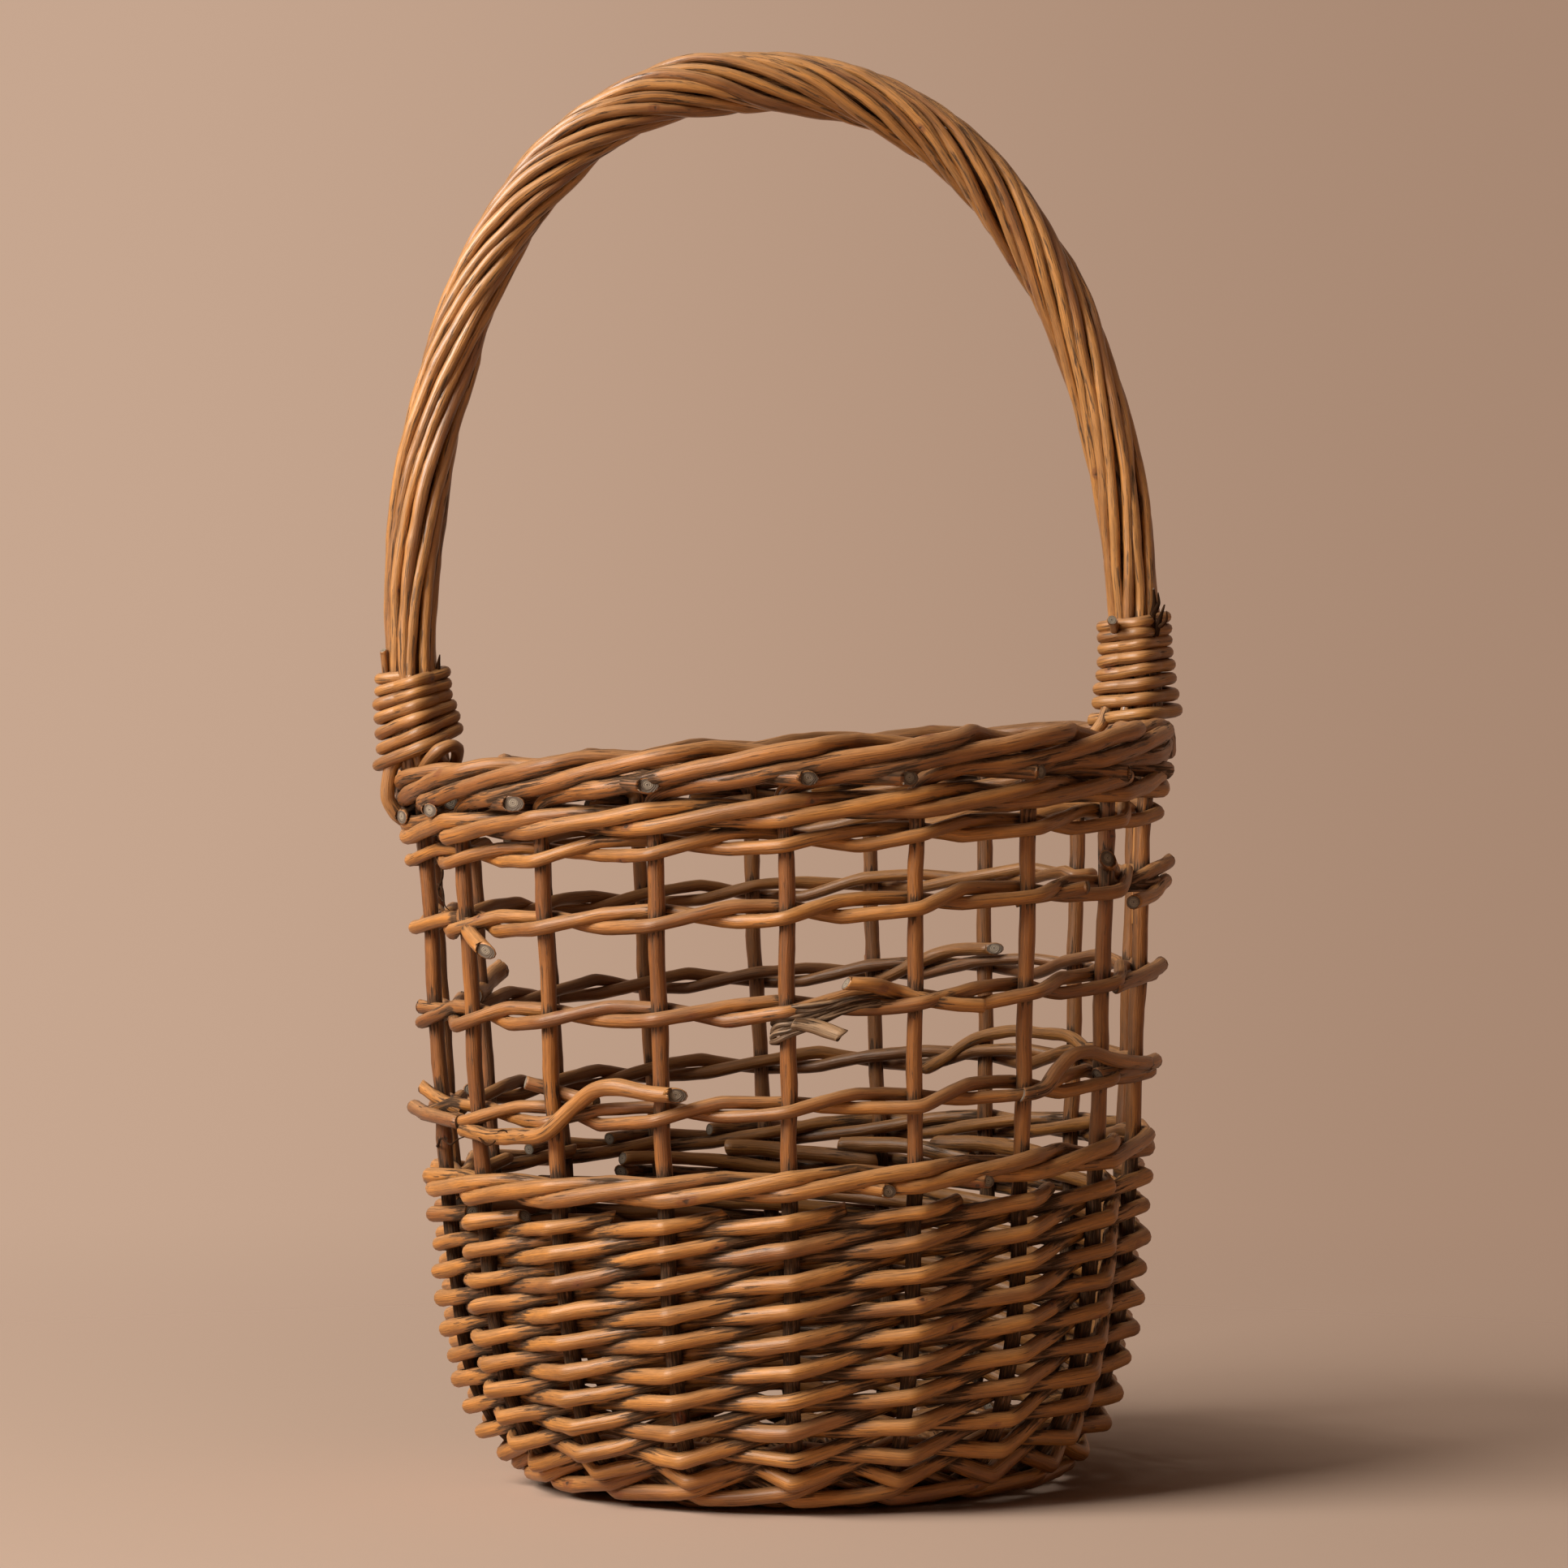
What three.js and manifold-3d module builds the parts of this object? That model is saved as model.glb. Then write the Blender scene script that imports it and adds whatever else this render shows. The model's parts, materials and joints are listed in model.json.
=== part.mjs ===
// A round willow basket with a fixed, roped arch handle. Millimetres, +Z up.
// The origin is in the middle of the foot, on the surface that the basket stands on.
// The front is towards -Y, and the handle's feet are at the left (-X) and the right (+X).
import * as THREE from 'three';
import Module from 'manifold-3d';
import { mergeVertices } from 'three/addons/utils/BufferGeometryUtils.js';

// Rods, and the clearance between neighbouring rods
const clearance = 0.3;
const stakeRadius = 2.75;
const weaverRadius = 2.15;
const rodSides = 5;

// Outline of the ring of stakes: its radii, and the heights that go with them
const stakeCount = 18;
const baseRadius = 84;
const turnRadius = 103.5;
const shoulderRadius = 114.5;
const bellyRadius = 120.5;
const rimRadius = 127;
const turnHeight = 22;
const shoulderHeight = 52;
const bellyHeight = 111;
const rimHeight = 237.5;
const stakeLead = 4;

// Rows of the side, measured along the stakes: the upsett wale from the base's edge, then the
// levels of the randing, and the openings from row to row above the middle wale
const upsettAt = 13;
const levelCount = 18;
const rowGap = 0.75;
const waleGap = 3.8;
const openings = { fitch_low: 25.6, fitch_middle: 32.9, fitch_high: 32.2, fitch_top: 23.4 };
const topOpening = 10.05;

// The side leans to the right at its foot, its rows rise to the right, and its stakes at the
// back are turned on
const rimTilt = 8;
const tiltStart = 11;
const tiltReach = 45;
const backTurn = 7;
const turnReach = 110;
const footLean = 4.5;
const leanReach = 350;

// Border: each stake bends down to the right in front of two others, then over the rim and
// inside. Along the border, places are counted in spaces between stakes.
const borderSlack = 3;
const borderSag = 2;
const borderGap = 0.5;
const borderSpread = 1;
const bendStart = 0.3;
const bendEnd = 0.65;
const bendShare = 0.4;
const crossingStart = 2.2;
const crossingLength = 0.5;
const crossingRise = 1;
const borderEnd = 4.4;

// Base
const stickRadius = 2.6;
const underThickness = 3.85;
const overThickness = 3;
const underMargin = 4;
const overMargin = -2;
const ridgeCount = 5;
const ridgeDepth = 1;
const stakeInBase = 64;

// Handle
const handleRise = 231.8;
const archPower = 2.37;
const archLean = 7.5;
const leftBulge = 7.8;
const bulgeReach = 30;
const bowRadius = 4.4;
const legInset = 1;
const legDepth = 49.5;
const legTipRadius = 1.3;
const strandCount = 12;
const strandsInGroup = 3;
const strandRadius = 1.9;
const strandGap = 1.6;
const strandTurns = 2.4;
const lobeFill = 0.97;
const lobeCrownFill = 0.86;
const lobeCrownWidth = 0.45;
const lobeValleyDepth = 0.2;
const groupBackWidth = 0.8;
const footScale = 0.87;
const drawStart = 30;
const drawEnd = 110;

// Bindings of the handle's feet
const bindingRadius = 1.95;
const bindingGap = 0.6;
const bindingSpread = 3.2;
const bindingLoops = { handle_binding_left: 8, handle_binding_right: 8 };
const stepsInLoop = 16;

const willow = { color: 0x9a6233, roughness: 0.5, metalness: 0 };
const darkWillow = { color: 0x7c4c28, roughness: 0.55, metalness: 0 };
const dirtyWillow = { color: 0x6e4f38, roughness: 0.7, metalness: 0 };
const paleWillow = { color: 0xb07a45, roughness: 0.45, metalness: 0 };

const basket = new THREE.Group();
const degree = Math.PI / 180;
const stakeTurn = 360 / stakeCount;
const wasm = await Module();
wasm.setup();

function addPiece(name, geometry, finish) {
  const mesh = new THREE.Mesh(geometry, new THREE.MeshStandardMaterial(finish));
  mesh.name = name;
  basket.add(mesh);
}

// A run of points with a thickness at each one. The section at a bend lies in the plane that
// halves the bend.
class RodPath extends THREE.Curve {
  constructor(points, radii) {
    super();
    this.points = points;
    this.radii = radii;
  }

  getPoint(t) {
    return this.points[Math.round(t * (this.points.length - 1))].clone();
  }

  getSpacedPoints() {
    return this.points.map((point) => point.clone());
  }

  computeFrenetFrames(steps) {
    const tangents = [];
    const normals = [];
    const binormals = [];
    const up = new THREE.Vector3(0, 0, 1);
    let side = new THREE.Vector3(0, -1, 0);
    for (let i = 0; i <= steps; i++) {
      const here = this.points[i];
      const before = here.clone().sub(this.points[Math.max(i - 1, 0)]).normalize();
      const after = this.points[Math.min(i + 1, steps)].clone().sub(here).normalize();
      const tangent = before.add(after).normalize();
      if (i === 0 && Math.abs(tangent.dot(side)) > Math.abs(tangent.dot(up))) side = up;
      side = side.clone().addScaledVector(tangent, -side.dot(tangent)).normalize();
      tangents.push(tangent);
      normals.push(side.clone().cross(tangent).multiplyScalar(this.radii[i]));
      binormals.push(side.clone().multiplyScalar(this.radii[i]));
    }
    return { tangents, normals, binormals };
  }
}

function sweep(path, section) {
  return new THREE.ExtrudeGeometry(new THREE.Shape(section), {
    steps: path.points.length - 1,
    extrudePath: path,
    curveSegments: 1,
  });
}

function ringPoint(angle, radius) {
  return new THREE.Vector2(radius * Math.cos(angle), radius * Math.sin(angle));
}

function rod(points, radii, sides = rodSides) {
  const section = [];
  for (let i = 0; i < sides; i++) section.push(ringPoint((2 * Math.PI * i) / sides, 1));
  const all = Array.isArray(radii) ? radii : points.map(() => radii);
  return sweep(new RodPath(points, all), section);
}

// The side leans, its rows rise towards the right and its back is turned on a few degrees. Every
// point of the basket goes through here: angle in degrees from the front towards the right,
// radius from the axis, and height.
function spot(angle, radius, height) {
  const climbed = Math.max(height - tiltStart, 0);
  const atBack = Math.max(0, -Math.cos(angle * degree));
  const turn = backTurn * atBack * (1 - Math.exp(-climbed / turnReach));
  const turned = (angle + turn) * degree;
  const across = radius * Math.sin(turned);
  const lean = footLean * (1 - height / leanReach);
  const tilt = rimTilt * (1 - Math.exp(-climbed / tiltReach));
  const rise = (tilt * across) / rimRadius;
  return new THREE.Vector3(across + lean, -radius * Math.cos(turned), height + rise);
}

// Places of the rows along the stakes
const waleSpread = weaverRadius + 1.5 * clearance;
const levelHeight = 2 * weaverRadius + rowGap;
const randStart = upsettAt + waleSpread + levelHeight;
const randEnd = randStart + levelCount * levelHeight;
const midWaleAt = randEnd + levelHeight + waleGap + waleSpread;
const rowsAt = {};
let rowAt = midWaleAt;
for (const [name, opening] of Object.entries(openings)) {
  rowAt += opening;
  rowsAt[name] = rowAt;
}
const topWaleAt = rowAt + topOpening;

// Outline of the ring of stakes, from the base up to the rim
const baseMiddle = underThickness + clearance + stakeRadius;
const outline = new THREE.CatmullRomCurve3([
  new THREE.Vector3(baseRadius - stakeLead, 0, baseMiddle),
  new THREE.Vector3(baseRadius, 0, baseMiddle),
  new THREE.Vector3(turnRadius, 0, turnHeight),
  new THREE.Vector3(shoulderRadius, 0, shoulderHeight),
  new THREE.Vector3(bellyRadius, 0, bellyHeight),
  new THREE.Vector3(rimRadius, 0, rimHeight),
], false, 'centripetal');
const outlineLength = outline.getLength();

// A stake is straight between its bends, which lie closer together where it turns up. The
// weavers follow it.
const bendCount = 10;
const bendEase = 1.9;
const stakeBends = [];
for (let i = 0; i <= bendCount; i++) stakeBends.push(outlineLength * (i / bendCount) ** bendEase);

// Place on the stakes' ring by the length along it, with its outward normal
function along(length) {
  let bend = 0;
  while (bend < stakeBends.length - 2 && stakeBends[bend + 1] < length) bend++;
  const [start, end] = [stakeBends[bend], stakeBends[bend + 1]];
  const from = outline.getPointAt(start / outlineLength);
  const to = outline.getPointAt(end / outlineLength);
  const point = from.lerp(to, (length - start) / (end - start));
  const tangent = outline.getTangentAt(Math.min(Math.max(length / outlineLength, 0), 1));
  return { radius: point.x, height: point.z, outX: tangent.z, outZ: -tangent.x };
}

// Distances of a weaver from the stakes' ring where it bends round a stake, and between stakes
const frontEase = 1.1;
const backEase = 1.01;
const touching = stakeRadius + weaverRadius + clearance;
const inFront = touching * frontEase;
const behind = -touching * backEase;
const betweenOffset = -2;

function woven(angle, length, offset) {
  const place = along(length);
  return spot(angle, place.radius + offset * place.outX, place.height + offset * place.outZ);
}

// The handle's legs go down beside two opposite stakes, on their left
const legStakes = [stakeCount - 4, stakeCount / 2 - 4];
const legTurn = ((2 * stakeRadius + 2 * clearance) / rimRadius) / degree;
const legAngles = legStakes.map((stake) => stake * stakeTurn - legTurn);
const legEndAt = topWaleAt - legDepth;

// Stakes: from the base up the side, then along the border
const straightPast = waleSpread + weaverRadius + clearance;
const rim = along(topWaleAt);
const borderHeight = rim.height + straightPast + stakeRadius + borderSlack;
const borderReach = 2 * stakeRadius + borderSpread;
const riseInSpace = 2 * stakeRadius + borderGap;
const crossingMiddle = crossingStart + crossingLength / 2;
const crossingEnd = crossingStart + crossingLength;

// Place on the border: its distance outside the rim, and its height before it sags
function borderPoint(spaces) {
  const climb = (Math.min(spaces, crossingStart) - bendEnd) * riseInSpace;
  const crossed = THREE.MathUtils.clamp((spaces - crossingStart) / crossingLength, 0, 1);
  const lift = crossingRise * Math.sin(Math.PI * crossed);
  const fall = riseInSpace * Math.max(spaces - crossingEnd, 0);
  return { offset: borderReach * (1 - 2 * crossed), height: borderHeight + climb + lift - fall };
}

// The border lies a little lower at the left and the right, where the handle pulls it down
function borderSpot(angle, radius, height) {
  return spot(angle, radius, height - borderSag * Math.sin(angle * degree) ** 2);
}

// The nine base sticks cross in the middle and open out like a star, with an end beside each
// stake. The stakes' butts turn away from them.
const stickShift = (stakeRadius + stickRadius + 1.5 * clearance) / baseRadius / degree;
const buttTurn = (stakeRadius + stickRadius + 4 * clearance) / stakeInBase / degree - stickShift;

const stations = [...stakeBends.slice(1, -1), topWaleAt + straightPast];
const bendReach = bendShare * borderReach;
const bendDrop = 2 * clearance;
const frontMiddle = (bendEnd + crossingStart) / 2;
const insideMiddle = (crossingEnd + borderEnd) / 2;
const borderStops = [
  bendEnd, frontMiddle, crossingStart, crossingMiddle, crossingEnd, insideMiddle, borderEnd,
];
for (let stake = 0; stake < stakeCount; stake++) {
  const angle = stake * stakeTurn;
  const points = [spot(angle + buttTurn, stakeInBase, baseMiddle)];
  points.push(...stations.map((length) => woven(angle, length, 0)));
  const bendAngle = angle + bendStart * stakeTurn;
  points.push(borderSpot(bendAngle, rim.radius + bendReach, borderHeight - bendDrop));
  for (const spaces of borderStops) {
    const place = borderPoint(spaces);
    points.push(borderSpot(angle + spaces * stakeTurn, rim.radius + place.offset, place.height));
  }
  const name = `stake_${String(stake + 1).padStart(2, '0')}`;
  addPiece(name, rod(points, stakeRadius), stake % 3 === 1 ? darkWillow : willow);
}

// Three-rod wale: each rod passes in front of two stakes and behind one. Between the stakes
// the rod that goes in passes over the one that comes out.
const waleCycle = [
  { offset: behind, rise: 0, halfway: -0.85 },
  { offset: inFront, rise: -waleSpread, halfway: null },
  { offset: inFront, rise: waleSpread, halfway: 1 },
];

function addWale(name, middle, firstStake, passesLegs, finish) {
  for (let third = 0; third < 3; third++) {
    const points = [];
    for (let passed = 0; passed < stakeCount; passed++) {
      const stake = firstStake + third + passed;
      const angle = stake * stakeTurn;
      const place = waleCycle[passed % 3];
      if (passesLegs && legStakes.includes(stake % stakeCount)) {
        points.push(woven(angle - legTurn, middle + place.rise, place.offset));
      }
      points.push(woven(angle, middle + place.rise, place.offset));
      if (place.halfway !== null) {
        const halfway = middle + place.halfway * waleSpread;
        points.push(woven(angle + stakeTurn / 2, halfway, betweenOffset));
      }
    }
    addPiece(`${name}_${third + 1}`, rod(points, weaverRadius), finish);
  }
}

addWale('upsett_wale', upsettAt, 8, false, dirtyWillow);
addWale('mid_wale', midWaleAt, 10, false, willow);
addWale('top_wale', topWaleAt, 9, true, darkWillow);

// French randing: one rod starts at each stake, and climbs one level at every stake
for (let start = 0; start < stakeCount; start++) {
  const points = [];
  for (let level = 0; level <= levelCount; level++) {
    const offset = level % 2 === 0 ? inFront : behind;
    points.push(woven((start + level) * stakeTurn, randStart + level * levelHeight, offset));
  }
  const name = `rand_rod_${String(start + 1).padStart(2, '0')}`;
  addPiece(name, rod(points, weaverRadius), start % 4 === 2 ? paleWillow : willow);
}

// Fitching: one rod folded round its first stake, and its halves twisted round each other
// between the stakes, one passing over the stake's front while the other passes behind
const pairSpread = weaverRadius + clearance;
const foldTurns = [45, 90, 135];
const foldRing = touching / Math.cos((foldTurns[0] / 2) * degree);

function addFitch(name, middle, firstStake) {
  const passesLegs = middle > legEndAt - 2 * stakeRadius;
  const halves = [[], []];
  for (let i = 0; i < stakeCount; i++) {
    const angle = (firstStake + i) * stakeTurn;
    const besideLeg = passesLegs && legStakes.includes((firstStake + i) % stakeCount);
    for (const half of [0, 1]) {
      const front = (i + half) % 2 === 0;
      const offset = front ? inFront : behind;
      if (besideLeg) halves[half].push(woven(angle - legTurn, middle, offset));
      halves[half].push(woven(angle, middle, offset));
      const over = front ? pairSpread : -pairSpread;
      halves[half].push(woven(angle + stakeTurn / 2, middle + over, betweenOffset));
    }
  }
  const fold = foldTurns.map((turn) => {
    const back = (foldRing * Math.sin(turn * degree)) / along(middle).radius / degree;
    return woven(firstStake * stakeTurn - back, middle, foldRing * Math.cos(turn * degree));
  });
  addPiece(name, rod([...halves[0].reverse(), ...fold, ...halves[1]], weaverRadius), willow);
}

addFitch('fitch_low', rowsAt.fitch_low, 13);
addFitch('fitch_middle', rowsAt.fitch_middle, 5);
addFitch('fitch_high', rowsAt.fitch_high, 6);
addFitch('fitch_top', rowsAt.fitch_top, 12);

// Base sticks: one star of crossed sticks
const hubRadius = stickRadius / Math.sin((stakeTurn / 2) * degree);
const star = [];
for (let stick = 0; stick < stakeCount; stick++) {
  const facing = (stick * stakeTurn - stickShift - 90) * degree;
  const middle = new THREE.Vector2();
  star.push(new THREE.Vector2(baseRadius, -stickRadius).rotateAround(middle, facing));
  star.push(new THREE.Vector2(baseRadius, stickRadius).rotateAround(middle, facing));
  star.push(ringPoint(facing + (stakeTurn / 2) * degree, hubRadius));
}
const sticks = new THREE.ExtrudeGeometry(new THREE.Shape(star), {
  depth: 2 * stickRadius,
  bevelEnabled: false,
});
sticks.translate(footLean, 0, baseMiddle - stickRadius);
addPiece('base_sticks', sticks, dirtyWillow);

// Weave of the base, one ridged plate under the sticks and one over them. The turned profile
// meets the axis, so its points there are merged.
function mergedAtAxis(geometry) {
  geometry.deleteAttribute('normal');
  geometry.deleteAttribute('uv');
  const merged = mergeVertices(geometry, 1e-4);
  const solid = new wasm.Manifold(new wasm.Mesh({
    numProp: 3,
    vertProperties: new Float32Array(merged.attributes.position.array),
    triVerts: new Uint32Array(merged.index.array),
  }));
  const mesh = solid.getMesh();
  const whole = new THREE.BufferGeometry();
  whole.setAttribute('position', new THREE.BufferAttribute(mesh.vertProperties, 3));
  whole.setIndex(new THREE.BufferAttribute(mesh.triVerts, 1));
  whole.computeVertexNormals();
  return whole;
}

function addPlate(name, edge, outer, inner, finish) {
  const ridge = edge / ridgeCount;
  const groove = outer + ridgeDepth * Math.sign(inner - outer);
  const profile = [new THREE.Vector2(0, inner), new THREE.Vector2(edge, inner)];
  for (let i = ridgeCount; i > 0; i--) {
    profile.push(new THREE.Vector2((i - 1 / 4) * ridge, outer));
    profile.push(new THREE.Vector2((i - 3 / 4) * ridge, outer));
    if (i > 1) profile.push(new THREE.Vector2((i - 1) * ridge, groove));
  }
  profile.push(new THREE.Vector2(0, outer));
  if (outer < inner) profile.reverse();
  const geometry = new THREE.LatheGeometry(profile, stakeCount);
  geometry.rotateX(Math.PI / 2);
  geometry.translate(footLean, 0, 0);
  addPiece(name, mergedAtAxis(geometry), finish);
}

const overSeat = baseMiddle + stakeRadius + clearance;
addPlate('base_weave_under', baseRadius + underMargin, 0, underThickness, dirtyWillow);
addPlate('base_weave_over', baseRadius + overMargin, overSeat + overThickness, overSeat, willow);

// Handle: its middle line runs from foot to foot as a super-ellipse that leans to the left and
// bulges out over its left foot
const footHeight = borderPoint(crossingStart).height + stakeRadius + clearance;
const feet = legAngles.map((angle) => borderSpot(angle, rim.radius - legInset, footHeight));
const footMiddle = feet[0].clone().add(feet[1]).multiplyScalar(0.5);
const halfSpan = feet[1].clone().sub(feet[0]).multiplyScalar(0.5);
const archSide = new THREE.Vector3(halfSpan.x, halfSpan.y, 0).normalize();
archSide.cross(new THREE.Vector3(0, 0, 1));

class Arch extends THREE.Curve {
  getPoint(share) {
    const turn = Math.PI * THREE.MathUtils.clamp(share, 0, 1);
    const across = -Math.sign(Math.cos(turn)) * Math.abs(Math.cos(turn)) ** (2 / archPower);
    const up = Math.sin(turn) ** (2 / archPower);
    const point = footMiddle.clone();
    const bulged = leftBulge * (1 - Math.exp(-handleRise * up / bulgeReach)) * (1 - up * up);
    point.x += halfSpan.x * across - archLean * up * up - (across < 0 ? bulged : 0);
    point.y += halfSpan.y * across;
    point.z += handleRise * up + halfSpan.z * across * (1 - up) ** 2;
    return point;
  }
}
const arch = new Arch();
arch.arcLengthDivisions = 2000;
const archLength = arch.getLength();

// Frame of the handle at a share of its length: outward, and sideways towards the front
function archFrame(share) {
  const tangent = arch.getTangentAt(share);
  const out = archSide.clone().cross(tangent).normalize();
  return { point: arch.getPointAt(share), tangent, out, side: archSide };
}

// The rods of the handle turn round the bow faster near its top, and draw in towards its feet
const twistSwing = 0.75;
function twistAt(share) {
  const eased = share - (twistSwing * Math.sin(2 * Math.PI * share)) / (2 * Math.PI);
  return 2 * Math.PI * strandTurns * eased;
}

function drawnIn(share) {
  const fromFoot = Math.min(share, 1 - share) * archLength;
  return footScale + (1 - footScale) * THREE.MathUtils.smoothstep(fromFoot, drawStart, drawEnd);
}

// Steps along the arch, closer together near its top
const archSteps = 26;
const stepSwing = 0.35;
const archShares = [];
for (let i = 0; i <= archSteps; i++) {
  const even = i / archSteps;
  archShares.push(even + (stepSwing * Math.sin(2 * Math.PI * even)) / (2 * Math.PI));
}

class TwistedPath extends RodPath {
  computeFrenetFrames() {
    const tangents = [];
    const normals = [];
    const binormals = [];
    archShares.forEach((share, i) => {
      const { tangent, out, side } = archFrame(share);
      const cos = Math.cos(twistAt(share)) * this.radii[i];
      const sin = Math.sin(twistAt(share)) * this.radii[i];
      tangents.push(tangent);
      normals.push(out.clone().multiplyScalar(cos).addScaledVector(side, sin));
      binormals.push(out.clone().multiplyScalar(-sin).addScaledVector(side, cos));
    });
    return { tangents, normals, binormals };
  }
}

// Section of neighbouring rods of the handle: a rounded lobe for each, on a common back
const strandRing = bowRadius + strandGap + strandRadius;
const lobeTurn = (2 * Math.PI) / strandCount;
const lobeHalf = Math.asin((strandRadius * lobeFill) / strandRing);
const lobeCrown = strandRing + strandRadius * lobeCrownFill;
const lobeCrownHalf = lobeHalf * lobeCrownWidth;
const lobeValley = strandRing - lobeValleyDepth;

function groupSection(middleAngle) {
  const reach = ((strandsInGroup - 1) / 2) * lobeTurn;
  const section = [ringPoint(middleAngle - reach - lobeHalf, strandRing)];
  for (let i = 0; i < strandsInGroup; i++) {
    const angle = middleAngle - reach + i * lobeTurn;
    if (i > 0) section.push(ringPoint(angle - lobeTurn / 2, lobeValley));
    section.push(ringPoint(angle - lobeCrownHalf, lobeCrown));
    section.push(ringPoint(angle + lobeCrownHalf, lobeCrown));
  }
  section.push(ringPoint(middleAngle + reach + lobeHalf, strandRing));
  for (const spread of [groupBackWidth, 0, -groupBackWidth]) {
    const angle = middleAngle + spread * (reach + lobeHalf);
    section.push(ringPoint(angle, strandRing - strandRadius));
  }
  return section;
}

const archPoints = archShares.map((share) => arch.getPointAt(share));
const strandPath = new TwistedPath(archPoints, archShares.map(drawnIn));
const groupCount = strandCount / strandsInGroup;
for (let group = 0; group < groupCount; group++) {
  const section = groupSection((2 * Math.PI * (group + 0.5)) / groupCount);
  addPiece(`handle_strands_${group + 1}`, sweep(strandPath, section), group % 2 ? paleWillow : willow);
}

// Bow: the core of the handle. Below the border its ends are thinned and pushed down inside
// the open-work, beside the stakes.
const legPlaces = [
  { radius: rim.radius - legInset, height: footHeight - borderSag },
  { radius: rim.radius - legInset, height: borderHeight - borderSag },
  along(topWaleAt),
  along((topWaleAt + legEndAt) / 2),
  along(legEndAt),
];
const legThinned = (stakeRadius + legTipRadius) / 2;
const legRadii = [stakeRadius, stakeRadius, stakeRadius, legThinned, legTipRadius];

function legPoints(leg) {
  return legPlaces.map(({ radius, height }) => spot(legAngles[leg], radius, height));
}

const innerShares = archShares.slice(1, -1);
const bowRadii = innerShares.map((share) => bowRadius * drawnIn(share));
const bowPoints = innerShares.map((share) => arch.getPointAt(share));
bowPoints.unshift(...legPoints(0).reverse());
bowPoints.push(...legPoints(1));
addPiece('handle_bow', rod(bowPoints, [...legRadii.toReversed(), ...bowRadii, ...legRadii], 6), darkWillow);

// Bindings: one long rod wound round each foot as an unbroken helix, wider at the border
const bindingPitch = 2 * bindingRadius + bindingGap;
const bundleRadius = (strandRing + strandRadius) * footScale;
const bindingRing = (bundleRadius + clearance + bindingRadius) / Math.cos(Math.PI / stepsInLoop);

function bindingPoints(leg, loops) {
  const points = [];
  for (let i = 0; i <= loops * stepsInLoop; i++) {
    const turns = i / stepsInLoop;
    const height = bindingRadius + 2 * clearance + bindingPitch * turns;
    const share = leg === 0 ? height / archLength : 1 - height / archLength;
    const { point, out, side } = archFrame(share);
    const ring = bindingRing + bindingSpread * Math.exp(-turns / 2);
    const angle = 2 * Math.PI * turns * (leg === 0 ? 1 : -1);
    point.addScaledVector(out, ring * Math.cos(angle));
    point.addScaledVector(side, ring * Math.sin(angle));
    points.push(point);
  }
  return points;
}

function leastGap(points) {
  let least = Infinity;
  for (let i = 0; i < points.length; i++) {
    for (let j = i + stepsInLoop / 2; j < points.length; j++) {
      least = Math.min(least, points[i].distanceTo(points[j]));
    }
  }
  return least - 2 * bindingRadius;
}

Object.entries(bindingLoops).forEach(([name, loops], leg) => {
  const points = bindingPoints(leg, loops);
  console.log(`${name}: ${loops} loops, least gap to itself ${leastGap(points).toFixed(2)} mm`);
  addPiece(name, rod(points, bindingRadius), paleWillow);
});

export default basket;
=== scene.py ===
import json
import math
import random

import bmesh
import bpy
import numpy as np
from mathutils import Matrix, Vector, kdtree

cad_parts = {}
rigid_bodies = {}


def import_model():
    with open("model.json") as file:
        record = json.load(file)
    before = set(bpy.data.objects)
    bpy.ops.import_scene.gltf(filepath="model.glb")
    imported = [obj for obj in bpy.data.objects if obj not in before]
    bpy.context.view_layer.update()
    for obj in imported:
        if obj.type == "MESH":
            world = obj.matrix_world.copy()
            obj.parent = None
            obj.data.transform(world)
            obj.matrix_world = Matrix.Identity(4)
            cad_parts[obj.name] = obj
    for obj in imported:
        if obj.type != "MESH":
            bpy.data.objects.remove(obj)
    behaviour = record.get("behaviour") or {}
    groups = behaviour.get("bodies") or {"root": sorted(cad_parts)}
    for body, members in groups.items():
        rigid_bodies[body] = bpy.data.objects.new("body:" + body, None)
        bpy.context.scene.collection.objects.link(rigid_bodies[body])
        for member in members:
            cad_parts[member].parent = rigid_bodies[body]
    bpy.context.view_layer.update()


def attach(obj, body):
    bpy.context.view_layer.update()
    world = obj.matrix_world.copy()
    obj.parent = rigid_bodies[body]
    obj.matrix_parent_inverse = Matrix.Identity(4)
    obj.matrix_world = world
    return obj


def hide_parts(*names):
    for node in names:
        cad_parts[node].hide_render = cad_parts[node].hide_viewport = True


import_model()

scene = bpy.context.scene

# Camera: two metres in front of the basket, level with its border, looking down a little.
camera_place = Vector((0.0011, -2.04, 0.270))
camera_dip = math.radians(0.72)
lens_length = 133.4
sensor = 36
lens = bpy.data.cameras.new("camera")
lens.lens = lens_length
lens.sensor_width = sensor
lens.clip_end = 40
camera = bpy.data.objects.new("camera", lens)
camera.location = camera_place
camera.rotation_euler = (math.pi / 2 - camera_dip, 0, 0)
scene.collection.objects.link(camera)
scene.camera = camera

# Base sticks: nine short, stout willow sticks. Four lie side by side one way, and are pierced
# by five that cross them. Their ends are opened out like a star, to one arm beside each stake.
stake_count = 18
stake_turn = 360 / stake_count
clearance = 0.0003
stake_radius = 0.00275
weaver_radius = 0.00215
base_radius = 0.084
stick_radius = 0.0026
base_middle = 0.0069
foot_lean = 0.0045
lean_reach = 0.350
rim_tilt = 0.008
rim_radius = 0.127
tilt_start = 0.011
tilt_reach = 0.045
back_turn = 7
turn_reach = 0.110
hub_half = 0.017


def sine(degrees):
    return math.sin(math.radians(degrees))


def cosine(degrees):
    return math.cos(math.radians(degrees))


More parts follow.
